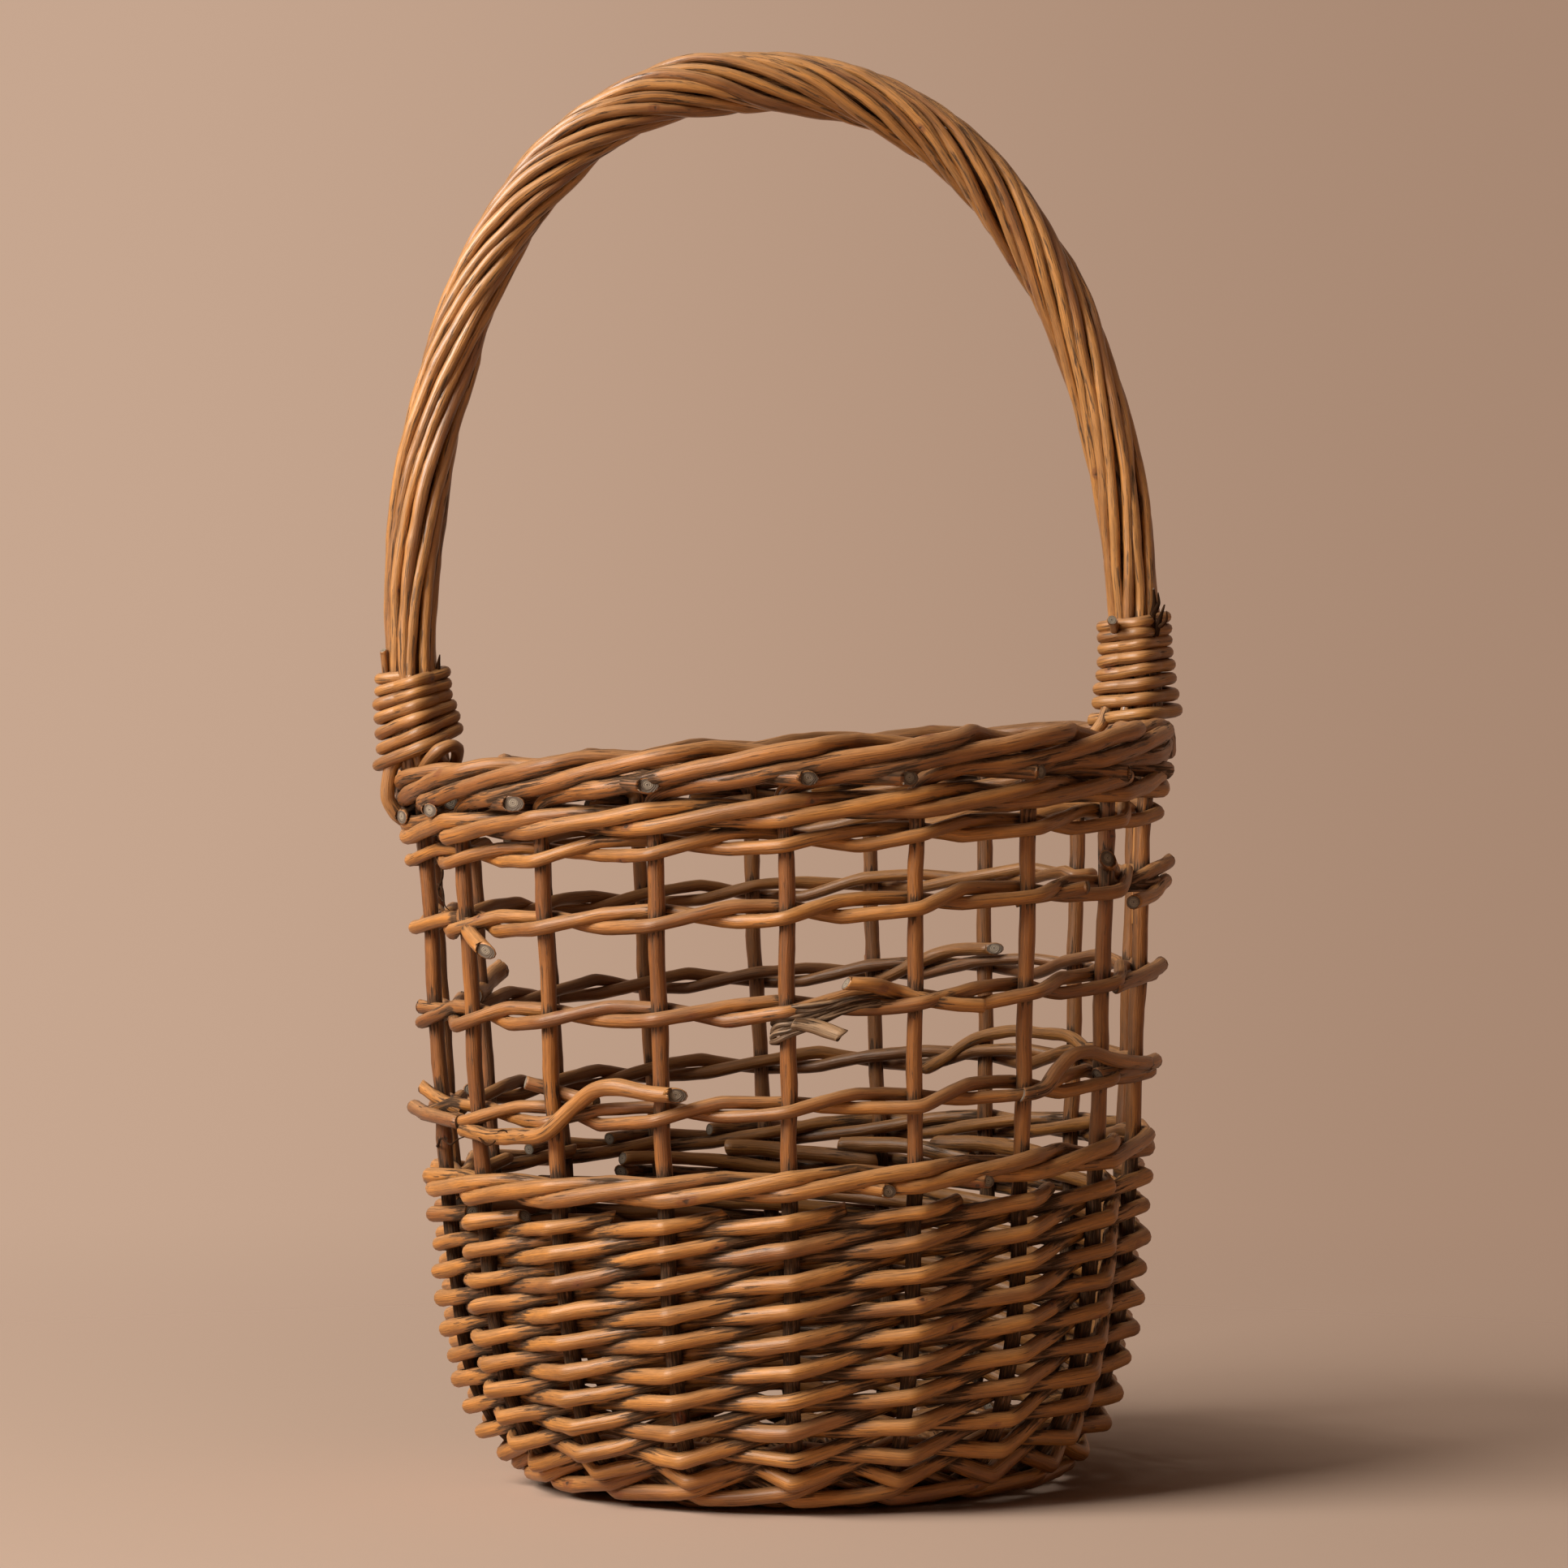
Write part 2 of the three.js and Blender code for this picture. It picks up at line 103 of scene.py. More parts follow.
def spot(angle, radius, height):
    """A point of the basket: degrees from the front towards the right, radius and height."""
    climbed = max(height - tilt_start, 0)
    at_back = max(0, -cosine(angle))
    turned = math.radians(angle + back_turn * at_back * (1 - math.exp(-climbed / turn_reach)))
    across = radius * math.sin(turned)
    tilt = rim_tilt * (1 - math.exp(-climbed / tilt_reach))
    lean = foot_lean * (1 - height / lean_reach)
    return Vector((across + lean, -radius * math.cos(turned), height + tilt * across / rim_radius))


class Wire:
    """A socket of a material's nodes. Sums on it add Math nodes, and node() adds any other."""

    def __init__(self, tree, socket=None):
        self.tree = tree
        self.socket = socket

    def node(self, kind, settings, sockets, output=0):
        made = self.tree.nodes.new("ShaderNode" + kind)
        for name, value in settings.items():
            setattr(made, name, value)
        for name, value in sockets.items():
            if isinstance(value, Wire):
                self.tree.links.new(value.socket, made.inputs[name])
            else:
                made.inputs[name].default_value = value
        return Wire(self.tree, made.outputs[output]) if made.outputs else None

    def reckon(self, operation, first, second=0.0):
        return self.node("Math", {"operation": operation}, {0: first, 1: second})

    def vector(self, operation, first, second=(0, 0, 0), output="Vector"):
        return self.node("VectorMath", {"operation": operation}, {0: first, 1: second}, output)

    def part(self, axis):
        return self.node("SeparateXYZ", {}, {"Vector": self}, axis)

    def __add__(self, other):
        return self.reckon("ADD", self, other)

    def __mul__(self, other):
        return self.reckon("MULTIPLY", self, other)

    def __sub__(self, other):
        return self.reckon("SUBTRACT", self, other)

    def __rsub__(self, other):
        return self.reckon("SUBTRACT", other, self)

    __radd__ = __add__
    __rmul__ = __mul__

    def step(self, low, high):
        """0 below low, 1 above high, and eased between them."""
        sockets = {"Value": self, "From Min": low, "From Max": high}
        return self.node("MapRange", {"interpolation_type": "SMOOTHSTEP"}, sockets)

    def stretched(self, along, around, detail=2.0):
        """Noise on the rod's own coordinates, so many times a metre along it and around it."""
        scaled = self.vector("MULTIPLY", self, (along, around, around))
        return self.node("TexNoise", {}, {"Vector": scaled, "Scale": 1.0, "Detail": detail})

    def mixed(self, share, first, second, blend="MIX"):
        settings = {"data_type": "RGBA", "blend_type": blend}
        return self.node("Mix", settings, {"Factor": share, 6: first, 7: second}, 2)


def bare(block, name):
    """A new material or world without nodes, and a Wire to put some in."""
    made = block.new(name)
    made.use_nodes = True
    made.node_tree.nodes.clear()
    return made, Wire(made.node_tree)


# The colour of a painted sheen: the tops of rods are mixed towards it so that they look lit from
# above.
painted_sheen_colour = (0.57, 0.300, 0.130)


def willow(name, pale, rich, gloss=0.4, dirt=0.0, polish=0.30, sheen=0.80, paled=0.45,
           painted_inside_shade=0.45):
    """Aged willow: honey to red-brown along each rod, paler on top with a painted sheen, darker
    underneath and on the side facing into the basket with painted shade, fine fibres, knots, a
    brown film, and black grime in streaks along the grain where rods touch and deep in the weave,
    which is partly painted shade."""
    material, wire = bare(bpy.data.materials, name)
    grain = wire.node("Attribute", {"attribute_name": "rod_space"}, {}, "Vector")
    wear_and_shade = wire.node("Attribute", {"attribute_name": "wear_and_shade"}, {}, "Vector")
    # The first part of the wear attribute is grime together with painted shade where rods touch and
    # deep in the weave.
    grime_and_shade, tone, knot = (wear_and_shade.part(axis) for axis in "XYZ")
    blotch = grain.stretched(20, 150)
    patch = grain.stretched(70, 330, 3.0)
    streak = grain.stretched(80, 1150, 5.0)
    fibre = grain.stretched(240, 3200, 3.0).step(0.32, 0.68)
    line = grain.stretched(13, 1500, 3.0).step(0.34, 0.66)
    shade = (tone * 0.85 + blotch * 2.0 - 0.95).step(0.0, 1.0)
    wood = wire.mixed(shade, (*pale, 1), (*rich, 1))
    normal = wire.node("NewGeometry", {}, {}, "Normal")
    above = normal.part("Z")
    # Painted sheen: the wood is mixed towards a pale colour where it faces up.
    wood = wire.mixed(above.step(-0.15, 0.95) * paled, wood, (*painted_sheen_colour, 1))
    across = wire.vector("MULTIPLY", wire.node("TexCoord", {}, {}, "Object"), (1, 1, 0))
    outward = wire.vector("DOT_PRODUCT", across, normal, "Value")
    grain_and_painted_shade = 0.56 + fibre * 0.28 + line * 0.30 + patch.step(0.32, 0.68) * 0.26
    # Painted shade: the wood is darker where it faces down and lighter where it faces up.
    grain_and_painted_shade = grain_and_painted_shade * (above.step(-0.85, 0.15) * 0.34 + 0.70)
    # Painted shade: darker on the side that faces into the basket.
    grain_and_painted_shade = grain_and_painted_shade * (outward.step(-0.10, 0.02) * painted_inside_shade + (1.0 - painted_inside_shade))
    grey = wire.node("CombineXYZ", {}, {"X": grain_and_painted_shade, "Y": grain_and_painted_shade, "Z": grain_and_painted_shade})
    wood = wire.mixed(1.0, wood, grey, "MULTIPLY")
    # The brown film and the black streaks follow the grime value, so they are real grime and
    # painted shade where rods touch and deep in the weave.
    film_and_shade = (grime_and_shade + patch * 1.6 + dirt - 0.8).step(0.30, 0.95)
    laid = grime_and_shade + streak * 2.6 + dirt - 1.3
    black_grime_and_shade = laid.step(0.58, 0.70)
    seam = laid.step(0.48, 0.52) - laid.step(0.58, 0.66)
    scratch = grain.stretched(150, 2400, 4.0).step(0.44, 0.64)
    dust_and_shade_colour = wire.mixed(streak.step(0.40, 0.60), (0.045, 0.014, 0.003, 1), (0.125, 0.064, 0.028, 1))
    crust_and_shade_colour = wire.mixed(scratch, (0.012, 0.004, 0.001, 1), (0.100, 0.045, 0.017, 1))
    crack = grain.stretched(34, 1500, 2.0).step(0.60, 0.68) * patch.step(0.38, 0.60)
    for share, colour in ((film_and_shade * 0.70, dust_and_shade_colour), (seam * 0.7, (0.020, 0.008, 0.003, 1)),
                          (black_grime_and_shade * 0.92, crust_and_shade_colour), (crack * 0.65, (0.028, 0.010, 0.003, 1)),
                          (knot.step(0.15, 0.45) * 0.55, (0.17, 0.035, 0.008, 1)),
                          (knot.step(0.62, 0.80) * 0.85, (0.018, 0.007, 0.004, 1))):
        wood = wire.mixed(share, wood, colour)
    rough = gloss + 0.14 + film_and_shade * 0.14 + black_grime_and_shade * 0.25 + fibre * 0.10 - line * 0.05
    relief = fibre * 0.25 + line * 0.35 + streak * 0.5
    relief = relief - black_grime_and_shade * 0.5 - crack * 0.4 - knot.step(0.6, 0.9) * 0.8
    bump = wire.node("Bump", {}, {"Strength": 0.6, "Distance": 0.0004, "Height": relief})
    shader = wire.node("BsdfPrincipled", {}, {
        "Base Color": wood,
        "Roughness": rough,
        "Specular IOR Level": sheen,
        "Specular Tint": (1.0, 0.82, 0.64, 1),
        "Coat Weight": (1.0 - black_grime_and_shade) * polish,
        "Coat Roughness": 0.30,
        "Normal": bump,
    })
    wire.node("OutputMaterial", {}, {"Surface": shader})
    return material


def cut_willow(name):
    """A cut end: pale grey, ringed like a small tree trunk, darker at its rim and its pith."""
    material, wire = bare(bpy.data.materials, name)
    grain = wire.node("Attribute", {"attribute_name": "rod_space"}, {}, "Vector")
    flat = wire.vector("MULTIPLY", grain, (0, 1, 1))
    out = wire.vector("LENGTH", flat, output="Value")
    mottle = grain.stretched(900, 900, 3.0)
    ring = wire.reckon("SINE", out * 9000 + mottle * 5.0) * 0.5 + 0.5
    colour = wire.mixed(ring * 0.5 + mottle * 0.4, (0.22, 0.165, 0.11, 1), (0.42, 0.34, 0.25, 1))
    rim = out.step(0.0014, 0.0024)
    pith = 1.0 - out.step(0.0001, 0.0005)
    colour = wire.mixed(rim * 0.75, colour, (0.075, 0.045, 0.028, 1))
    colour = wire.mixed(pith * 0.8, colour, (0.05, 0.03, 0.02, 1))
    bump = wire.node("Bump", {}, {"Strength": 0.6, "Distance": 0.0003, "Height": ring + mottle})
    sockets = {"Base Color": colour, "Roughness": 0.8, "Normal": bump}
    shader = wire.node("BsdfPrincipled", {}, sockets)
    wire.node("OutputMaterial", {}, {"Surface": shader})
    return material


sides = 12
end_bevel = 0.00035
end_scale = 0.86
swells = [(0.047, 0, 0.020), (0.023, 1, 0.022), (0.014, 2, 0.020), (0.0075, 3, 0.010),
          (0.033, 2, 0.024)]
wanders = [(0.061, 0.00022), (0.029, 0.00010)]
knot_apart = (0.040, 0.090)
knot_reach = 0.0028
scar_reach = 0.0019
cut_slope = 1.25
cut_end = cut_willow("willow_cut_end")
rods = []


def direction(points, i):
    """Directions to a point, from it, and the one between them."""
    before = (points[i] - points[max(i - 1, 0)]).normalized()
    after = (points[min(i + 1, len(points) - 1)] - points[i]).normalized()
    return before, after, (before + after).normalized()


def lengths_along(points):
    return np.concatenate([[0], np.cumsum(np.linalg.norm(np.diff(points, axis=0), axis=1))])


def ring_shapes(rings, rng, face):
    """Gives rings of a rod their small swellings, their knots, a slight wander and slanted cuts.
    The last cut turns to the direction face, if it is given."""
    centres = rings.mean(axis=1)
    length = lengths_along(centres)
    around = np.arange(sides) * 2 * math.pi / sides
    swell = np.zeros((len(rings), sides))
    knots = np.zeros((len(rings), sides))
    for wave, lobes, height in swells:
        phase = 2 * math.pi * length[:, None] / wave + lobes * around + rng.uniform(0, 7)
        swell += height * np.sin(phase)
    knot = rng.uniform(0.01, knot_apart[1])
    while knot < length[-1]:
        near = np.exp(-((length - knot) / knot_reach) ** 2)[:, None]
        facing = np.cos(around - rng.uniform(0, 6))
        swell += rng.uniform(0.04, 0.13) * near * (0.65 + 0.35 * facing)
        if rng.random() < 0.5:
            scar = np.exp(-((length - knot) / scar_reach) ** 2)[:, None]
            knots += scar * np.clip(facing, 0, 1) ** 6
        knot += rng.uniform(*knot_apart)
    wander = np.zeros((len(rings), 3))
    for axis in range(3):
        for wave, reach in wanders:
            wander[:, axis] += reach * np.sin(2 * math.pi * length / wave + rng.uniform(0, 7))
    spokes = rings - centres[:, None]
    shaped = centres[:, None] + spokes * (1 + swell[:, :, None]) + wander[:, None]
    for end, beside in ((0, 1), (-1, -2)):
        outward = centres[end] - centres[beside]
        outward /= np.linalg.norm(outward)
        slant = rng.uniform(0.1, 0.8) * np.cos(around - rng.uniform(0, 6))
        slant *= np.linalg.norm(spokes[end], axis=1)
        if face is not None and end == -1:
            slant = -cut_slope * spokes[end] @ np.array(face)
        shaped[end] += outward * slant[:, None]
    return shaped, length, around, knots


def close_end(bm, ring, outward):
    """Cuts a rod off square, with its edge a little rounded and its cut face its own material."""
    centre = sum((v.co for v in ring), Vector()) / sides
    edges = [bm.edges.get((ring[i], ring[i - 1])) for i in range(sides)]
    made = bmesh.ops.extrude_edge_only(bm, edges=edges)["geom"]
    rim = [part for part in made if isinstance(part, bmesh.types.BMVert)]
    border = [part for part in made if isinstance(part, bmesh.types.BMEdge) and part.is_boundary]
    bmesh.ops.translate(bm, vec=outward * end_bevel, verts=rim)
    bmesh.ops.scale(bm, vec=[end_scale] * 3, space=Matrix.Translation(-centre), verts=rim)
    cap = bmesh.ops.holes_fill(bm, edges=border, sides=0)["faces"]
    for face in cap:
        face.material_index = 1
        for edge in face.edges:
            edge.smooth = False


def rod_corners(mesh):
    corners = np.zeros(len(mesh.vertices) * 3)
    mesh.vertices.foreach_get("co", corners)
    return corners


def grow_rods(name, runs, finish, replaced=(), bend=0.22, steps=12, tones=None,
              shelter=0.7):
    """One piece of willow rods. Each run is a list of points, one of radii, and if its last end is
    cut to be seen, the direction that the cut faces. A rod is nearly straight between its points
    and bends at them. Without a shelter, its grime, which is partly painted shade, goes by its
    depth in the side."""
    curve = bpy.data.curves.new(name, "CURVE")
    curve.dimensions = "3D"
    curve.resolution_u = steps
    curve.bevel_depth = 1
    curve.bevel_resolution = sides // 2 - 2
    for points, radii, *_ in runs:
        spline = curve.splines.new("BEZIER")
        spline.bezier_points.add(len(points) - 1)
        for i, knot in enumerate(spline.bezier_points):
            before, after, way = direction(points, i)
            share = bend if before.dot(after) > 0.5 or i in (0, len(points) - 1) else 0.3
            back = (points[i] - points[max(i - 1, 0)]).length
            ahead = (points[min(i + 1, len(points) - 1)] - points[i]).length
            knot.handle_left_type = knot.handle_right_type = "FREE"
            knot.co = points[i]
            knot.handle_left = points[i] - way * back * share
            knot.handle_right = points[i] + way * ahead * share
            knot.radius = radii[i]
    shape = bpy.data.objects.new(name, curve)
    mesh = bpy.data.meshes.new_from_object(shape)
    bpy.data.objects.remove(shape)
    bpy.data.curves.remove(curve)
    corners = rod_corners(mesh).reshape(-1, sides, 3)
    rod_space = np.zeros(corners.shape)
    wear_and_shade = np.zeros(corners.shape)
    rng = random.Random(name)
    start = 0
    ends = []
    for number, (points, _, *face) in enumerate(runs):
        stop = start + (len(points) - 1) * steps + 1
        rings = slice(start, stop)
        corners[rings], length, around, wear_and_shade[rings, :, 2] = ring_shapes(
            corners[rings], rng, face[0] if face else None)
        centres = corners[rings].mean(axis=1)
        girth = np.linalg.norm(corners[rings] - centres[:, None], axis=2)
        rod_space[rings, :, 0] = length[:, None] + rng.uniform(0, 90)
        rod_space[rings, :, 1] = girth * np.cos(around)
        rod_space[rings, :, 2] = girth * np.sin(around)
        wear_and_shade[rings, :, 1] = tones[number] if tones else rng.uniform(0.0, 1.0)
        rods.append({"piece": name, "rings": rings, "centres": centres, "girth": girth.mean(axis=1),
                     "shelter": shelter})
        ends += [(start, points[0] - points[1]), (stop - 1, points[-1] - points[-2])]
        start = stop
    mesh.vertices.foreach_set("co", corners.ravel())
    for kept, values in (("rod_space", rod_space), ("wear_and_shade", wear_and_shade)):
        mesh.attributes.new(kept, "FLOAT_VECTOR", "POINT")
        mesh.attributes[kept].data.foreach_set("vector", values.astype(np.float32).ravel())
    mesh.materials.clear()
    mesh.materials.append(finish)
    mesh.materials.append(cut_end)
    bm = bmesh.new()
    bm.from_mesh(mesh)
    bm.verts.ensure_lookup_table()
    whole = list(bm.verts)
    for face in bm.faces:
        face.material_index = 0
        face.smooth = True
    for ring, outward in ends:
        close_end(bm, whole[ring * sides:(ring + 1) * sides], outward.normalized())
    bmesh.ops.recalc_face_normals(bm, faces=bm.faces)
    bm.to_mesh(mesh)
    bm.free()
    piece = bpy.data.objects.new(name, mesh)
    scene.collection.objects.link(piece)
    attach(piece, "root")
    if replaced:
        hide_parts(*replaced)
    return piece


honey = (0.49, 0.188, 0.030)
amber = (0.36, 0.122, 0.016)
russet = (0.20, 0.058, 0.007)
straw = (0.51, 0.215, 0.045)


def astray(rng, reach):
    return rng.uniform(-reach, reach)


base_willow = willow("base_willow", honey, russet, gloss=0.55, dirt=0.22)
stick_shift = math.degrees((stake_radius + stick_radius + 1.5 * clearance) / base_radius)


def base_point(angle, radius, side=0.0):
    """A point of the base's middle plane, so far to the left of an arm's line."""
    return Vector((radius * sine(angle) - side * cosine(angle) + foot_lean,
                   -radius * cosine(angle) - side * sine(angle), base_middle))


runs = []
for way, count in ((90, 4), (0, 5)):
    for number in range(count):
        side = (number - (count - 1) / 2) * 2 * stick_radius * 1.02
        fan = -(number - (count - 1) / 2) * stake_turn
        near = way + fan - stick_shift
        far = way - fan + 180 - stick_shift
        points = [base_point(far, base_radius), base_point(far, 0.62 * base_radius)]
        points += [base_point(way, -hub_half, side), base_point(way, hub_half, side)]
        points += [base_point(near, 0.62 * base_radius), base_point(near, base_radius)]
        runs.append((points, [stick_radius * share for share in (0.88, 0.96, 1, 1, 0.96, 0.88)]))
grow_rods("base_star", runs, base_willow, ["base_sticks"], bend=0.3, steps=10)

# Base weave: two thin rods twisted round each other from stick to stick, in rounds from the
# crossing out to the edge. The lowest of them carry the basket.
base_weaver = 0.0019
weave_start = 0.0245
weave_pitch = 0.0042
weave_swing = 0.0049
weave_sway = 0.0011
base_rounds = 14
for part, name, node in ((0, "base_weaver_a", "base_weave_under"),
                         (1, "base_weaver_b", "base_weave_over")):
    points = []
    for i in range(base_rounds * stake_count * 2):
        arm = i / 2
        radius = weave_start + weave_pitch * arm / stake_count
        phase = math.pi * (arm + part)
        point = base_point(arm * stake_turn - stick_shift, radius + weave_sway * math.sin(phase))
        point.z += weave_swing * math.cos(phase)
        points.append(point)
    radii = [base_weaver] * len(points)
    grow_rods(name, [(points, radii)], base_willow, [node], bend=0.3, steps=4)

# Side stakes: eighteen stout rods pushed in beside the base sticks and bent up. At the top each
# one bends down to the right in front of two others, goes over the rim and ends inside: border.
turn_radius = 0.1035
turn_height = 0.022
shoulder_radius = 0.1145
shoulder_height = 0.052
belly_radius = 0.1205
belly_height = 0.111
rim_height = 0.2375
stake_lead = 0.004
upsett_at = 0.013
level_count = 18
row_gap = 0.00075
wale_gap = 0.0038
wale_spread = weaver_radius + 1.5 * clearance
level_height = 2 * weaver_radius + row_gap
rand_start = upsett_at + wale_spread + level_height
rand_end = rand_start + level_count * level_height
mid_wale_at = rand_end + level_height + wale_gap + wale_spread
fitch_low_at = mid_wale_at + 0.0256
fitch_middle_at = fitch_low_at + 0.0329
fitch_high_at = fitch_middle_at + 0.0322
fitch_top_at = fitch_high_at + 0.0234
top_wale_at = fitch_top_at + 0.01005
outline_step = 0.0002
outline_corners = [
    (base_radius - stake_lead, base_middle), (base_radius, base_middle), (turn_radius, turn_height),
    (shoulder_radius, shoulder_height), (belly_radius, belly_height), (rim_radius, rim_height),
]


def outline_samples(corners, count=60):
    """A smooth line through the corners of the stakes' outline, with so many points to a side."""
    corners = [np.array(c) for c in corners]
    corners = [2 * corners[0] - corners[1], *corners, 2 * corners[-1] - corners[-2]]
    samples = []
    for a, b, c, d in zip(corners, corners[1:], corners[2:], corners[3:]):
        at = np.cumsum([0, *(np.linalg.norm(q - p) ** 0.5 for p, q in ((a, b), (b, c), (c, d)))])
        for t in np.linspace(at[1], at[2], count, endpoint=False):
            line = [a, b, c, d]
            for level in (1, 2):
                line = [(p * (at[i + level] - t) + q * (t - at[i])) / (at[i + level] - at[i])
                        for i, (p, q) in enumerate(zip(line, line[1:]))]
            samples.append((line[0] * (at[2] - t) + line[1] * (t - at[1])) / (at[2] - at[1]))
    return np.array([*samples, corners[-2]])


outline = outline_samples(outline_corners)
outline_at = lengths_along(outline)


def along(length):
    """Radius and height of the ring of stakes at a length along it, and its outward direction."""
    held = min(max(length, outline_step), outline_at[-1] - outline_step)
    ahead, back = (np.array([np.interp(held + step, outline_at, outline[:, i]) for i in (0, 1)])
                   for step in (outline_step, -outline_step))
    way = ahead - back
    way /= np.linalg.norm(way)
    place = (ahead + back) / 2 + way * (length - held)
    return place[0], place[1], way[1], -way[0]


def woven(angle, length, offset):
    """A point so far outside the ring of stakes."""
    radius, height, out_x, out_z = along(length)
    return spot(angle, radius + offset * out_x, height + offset * out_z)


def stops_of(stops):
    """Points from degrees, millimetres along the stakes and millimetres outside them."""
    return [woven(angle, length / 1000, offset / 1000) for angle, length, offset in stops]


def outwards(angle):
    return Vector((sine(angle), -cosine(angle), 0))


border_slack = 0.003
border_sag = 0.002
border_gap = 0.0005
border_spread = 0.001
bend_start = 0.3
bend_end = 0.65
crossing_start = 2.2
crossing_length = 0.5
crossing_rise = 0.001
border_end = 4.4
border_swell = 1.10
stake_in_base = 0.064
straight_past = wale_spread + weaver_radius + clearance
rim_place = along(top_wale_at)
border_height = rim_place[1] + straight_past + stake_radius + border_slack
border_reach = 2 * stake_radius + border_spread
rise_in_space = 2 * stake_radius + border_gap
crossing_middle = crossing_start + crossing_length / 2
crossing_end = crossing_start + crossing_length
butt_shift = math.degrees((stake_radius + stick_radius + 4 * clearance) / stake_in_base)


def border_point(spaces):
    """Distance outside the rim, and height, so many spaces along the border."""
    climb = (min(spaces, crossing_start) - bend_end) * rise_in_space
    crossed = min(max((spaces - crossing_start) / crossing_length, 0), 1)
    lift = crossing_rise * math.sin(math.pi * crossed)
    fall = rise_in_space * max(spaces - crossing_end, 0)
    return border_reach * (1 - 2 * crossed), border_height + climb + lift - fall


def border_spot(angle, radius, height):
    """A point of the border, which lies a little lower at the left and the right."""
    return spot(angle, radius, height - border_sag * sine(angle) ** 2)


stake_willow = willow("stake_willow", amber, russet, gloss=0.42, dirt=0.10)
stake_stations = [0.003, 0.011, 0.020, 0.031, 0.044, 0.062, 0.090, 0.125, 0.165, 0.205]
stake_stations += [top_wale_at - 0.014, top_wale_at - 0.002, top_wale_at + straight_past]
border_stops = [bend_end, 1.4, crossing_start, crossing_middle, crossing_end, 3.6, border_end]
for stake in range(stake_count):
    rng = random.Random(stake)
    angle = stake * stake_turn
    points = [spot(angle + (butt_shift - stick_shift), stake_in_base, base_middle)]
    points += [woven(angle + astray(rng, 0.12), length, 0) for length in stake_stations]
    points.append(border_spot(angle + bend_start * stake_turn, rim_place[0] + 0.4 * border_reach,
                              border_height - 2 * clearance))
    for spaces in border_stops:
        offset, height = border_point(spaces)
        offset += astray(rng, 0.0005)
        height += astray(rng, 0.0005)
        points.append(border_spot(angle + spaces * stake_turn, rim_place[0] + offset, height))
    thick = rng.uniform(0.96, 1.03)
    radii = [stake_radius * thick] * (len(stake_stations) + 1)
    radii += [stake_radius * border_swell * thick] * (len(points) - len(radii))
    name = f"stake_{stake + 1:02d}"
    grow_rods("side_" + name, [(points, radii)], stake_willow, [name], bend=0.26,
              steps=9, tones=[rng.uniform(0.3, 1.0)], shelter=None)

# Border ends: the cut butts of eighteen border rods, which come out under the border beside each
# stake, with a pale grey face. Those at the front have their own turn in degrees and rise in mm.
butt_radius = 0.0027
butt_places = [(-15, -0.0062, 0.0030), (-8, -0.0005, 0.0022), (-2.5, 0.0052, 0.0008),
               (1.2, 0.0080, 0)]
butt_height = border_height - 0.0052
butt_moves = {15: (-4.3, 2.5), 16: (-3.4, 2.3), 17: (-0.6, 5.6), 0: (1.9, 4.6), 1: (-3.7, 2.2),
              2: (-2.4, 2.2)}
runs = []
tones = []
for stake in range(stake_count):
    rng = random.Random(f"butt {stake}")
    turned, raised = butt_moves.get(stake, (astray(rng, 1.2), astray(rng, 0.4)))
    turn = stake * stake_turn + turned
    level = butt_height + raised / 1000
    points = [border_spot(turn + angle, rim_place[0] + offset + raised / 3000, level + rise)
              for angle, offset, rise in butt_places]
    runs.append((points, [butt_radius * rng.uniform(0.95, 1.12)] * len(points), outwards(turn)))
    tones.append(rng.uniform(0.2, 0.8))
grow_rods("border_ends", runs, stake_willow, bend=0.3, steps=6, tones=tones)

# Wales: bands of three rods that bind the stakes, at the foot, over the randing and at the rim.
# Each rod goes in front of two stakes and behind one, over the two that it leaves.
crest = 1.27
slim = 1.04
halfway_swell = 1.14
crest_offset = stake_radius + crest * weaver_radius
behind = -(stake_radius + slim * weaver_radius)
between_offset = -0.002
leg_stakes = [stake_count - 4, stake_count // 2 - 4]
leg_turn = math.degrees((2 * stake_radius + 2 * clearance) / rim_radius)
weaver_willow = willow("weaver_willow", honey, russet, gloss=0.40, dirt=0.03)


def wale_rod(middle, first_stake, passes_legs, rng):
    """Points of one rod of a wale, and how much thicker it is at each."""
    cycle = [
        (behind, 0, -0.85 * wale_spread, slim),
        (crest_offset, -wale_spread, None, crest),
        (crest_offset, wale_spread, wale_spread, crest),
    ]
    points = []
    swellings = []
    for passed in range(stake_count):
        stake = first_stake + passed
        angle = stake * stake_turn + astray(rng, 0.4)
        offset, rise, halfway, thick = cycle[passed % 3]
        rise += astray(rng, 0.0004)
        if passes_legs and stake % stake_count in leg_stakes:
            points.append(woven(stake * stake_turn - leg_turn, middle + rise, offset))
            swellings.append(thick)
        points.append(woven(angle, middle + rise, offset))
        swellings.append(thick)
        if halfway is not None:
            points.append(woven(angle + stake_turn / 2, middle + halfway, between_offset))
            swellings.append(halfway_swell)
    return points, swellings


def thinned(swellings, start):
    """Radii of a woven rod, which gets thinner towards its tip."""
    return [weaver_radius * share * swelling
            for share, swelling in zip(np.linspace(start, 0.97, len(swellings)), swellings)]


wales = [("upsett_wale", upsett_at, 8, False), ("mid_wale", mid_wale_at, 10, False),
         ("top_wale", top_wale_at, 9, True)]
for wale, middle, first_stake, passes_legs in wales:
    for third in range(3):
        name = f"{wale}_{third + 1}"
        rng = random.Random(name)
        points, swellings = wale_rod(middle, first_stake + third, passes_legs, rng)
        run = (points, thinned(swellings, 1.05))
        grow_rods("willow_" + name, [run], weaver_willow, [name], bend=0.12,
                  steps=8, tones=[rng.uniform(0.0, 0.5)], shelter=None)

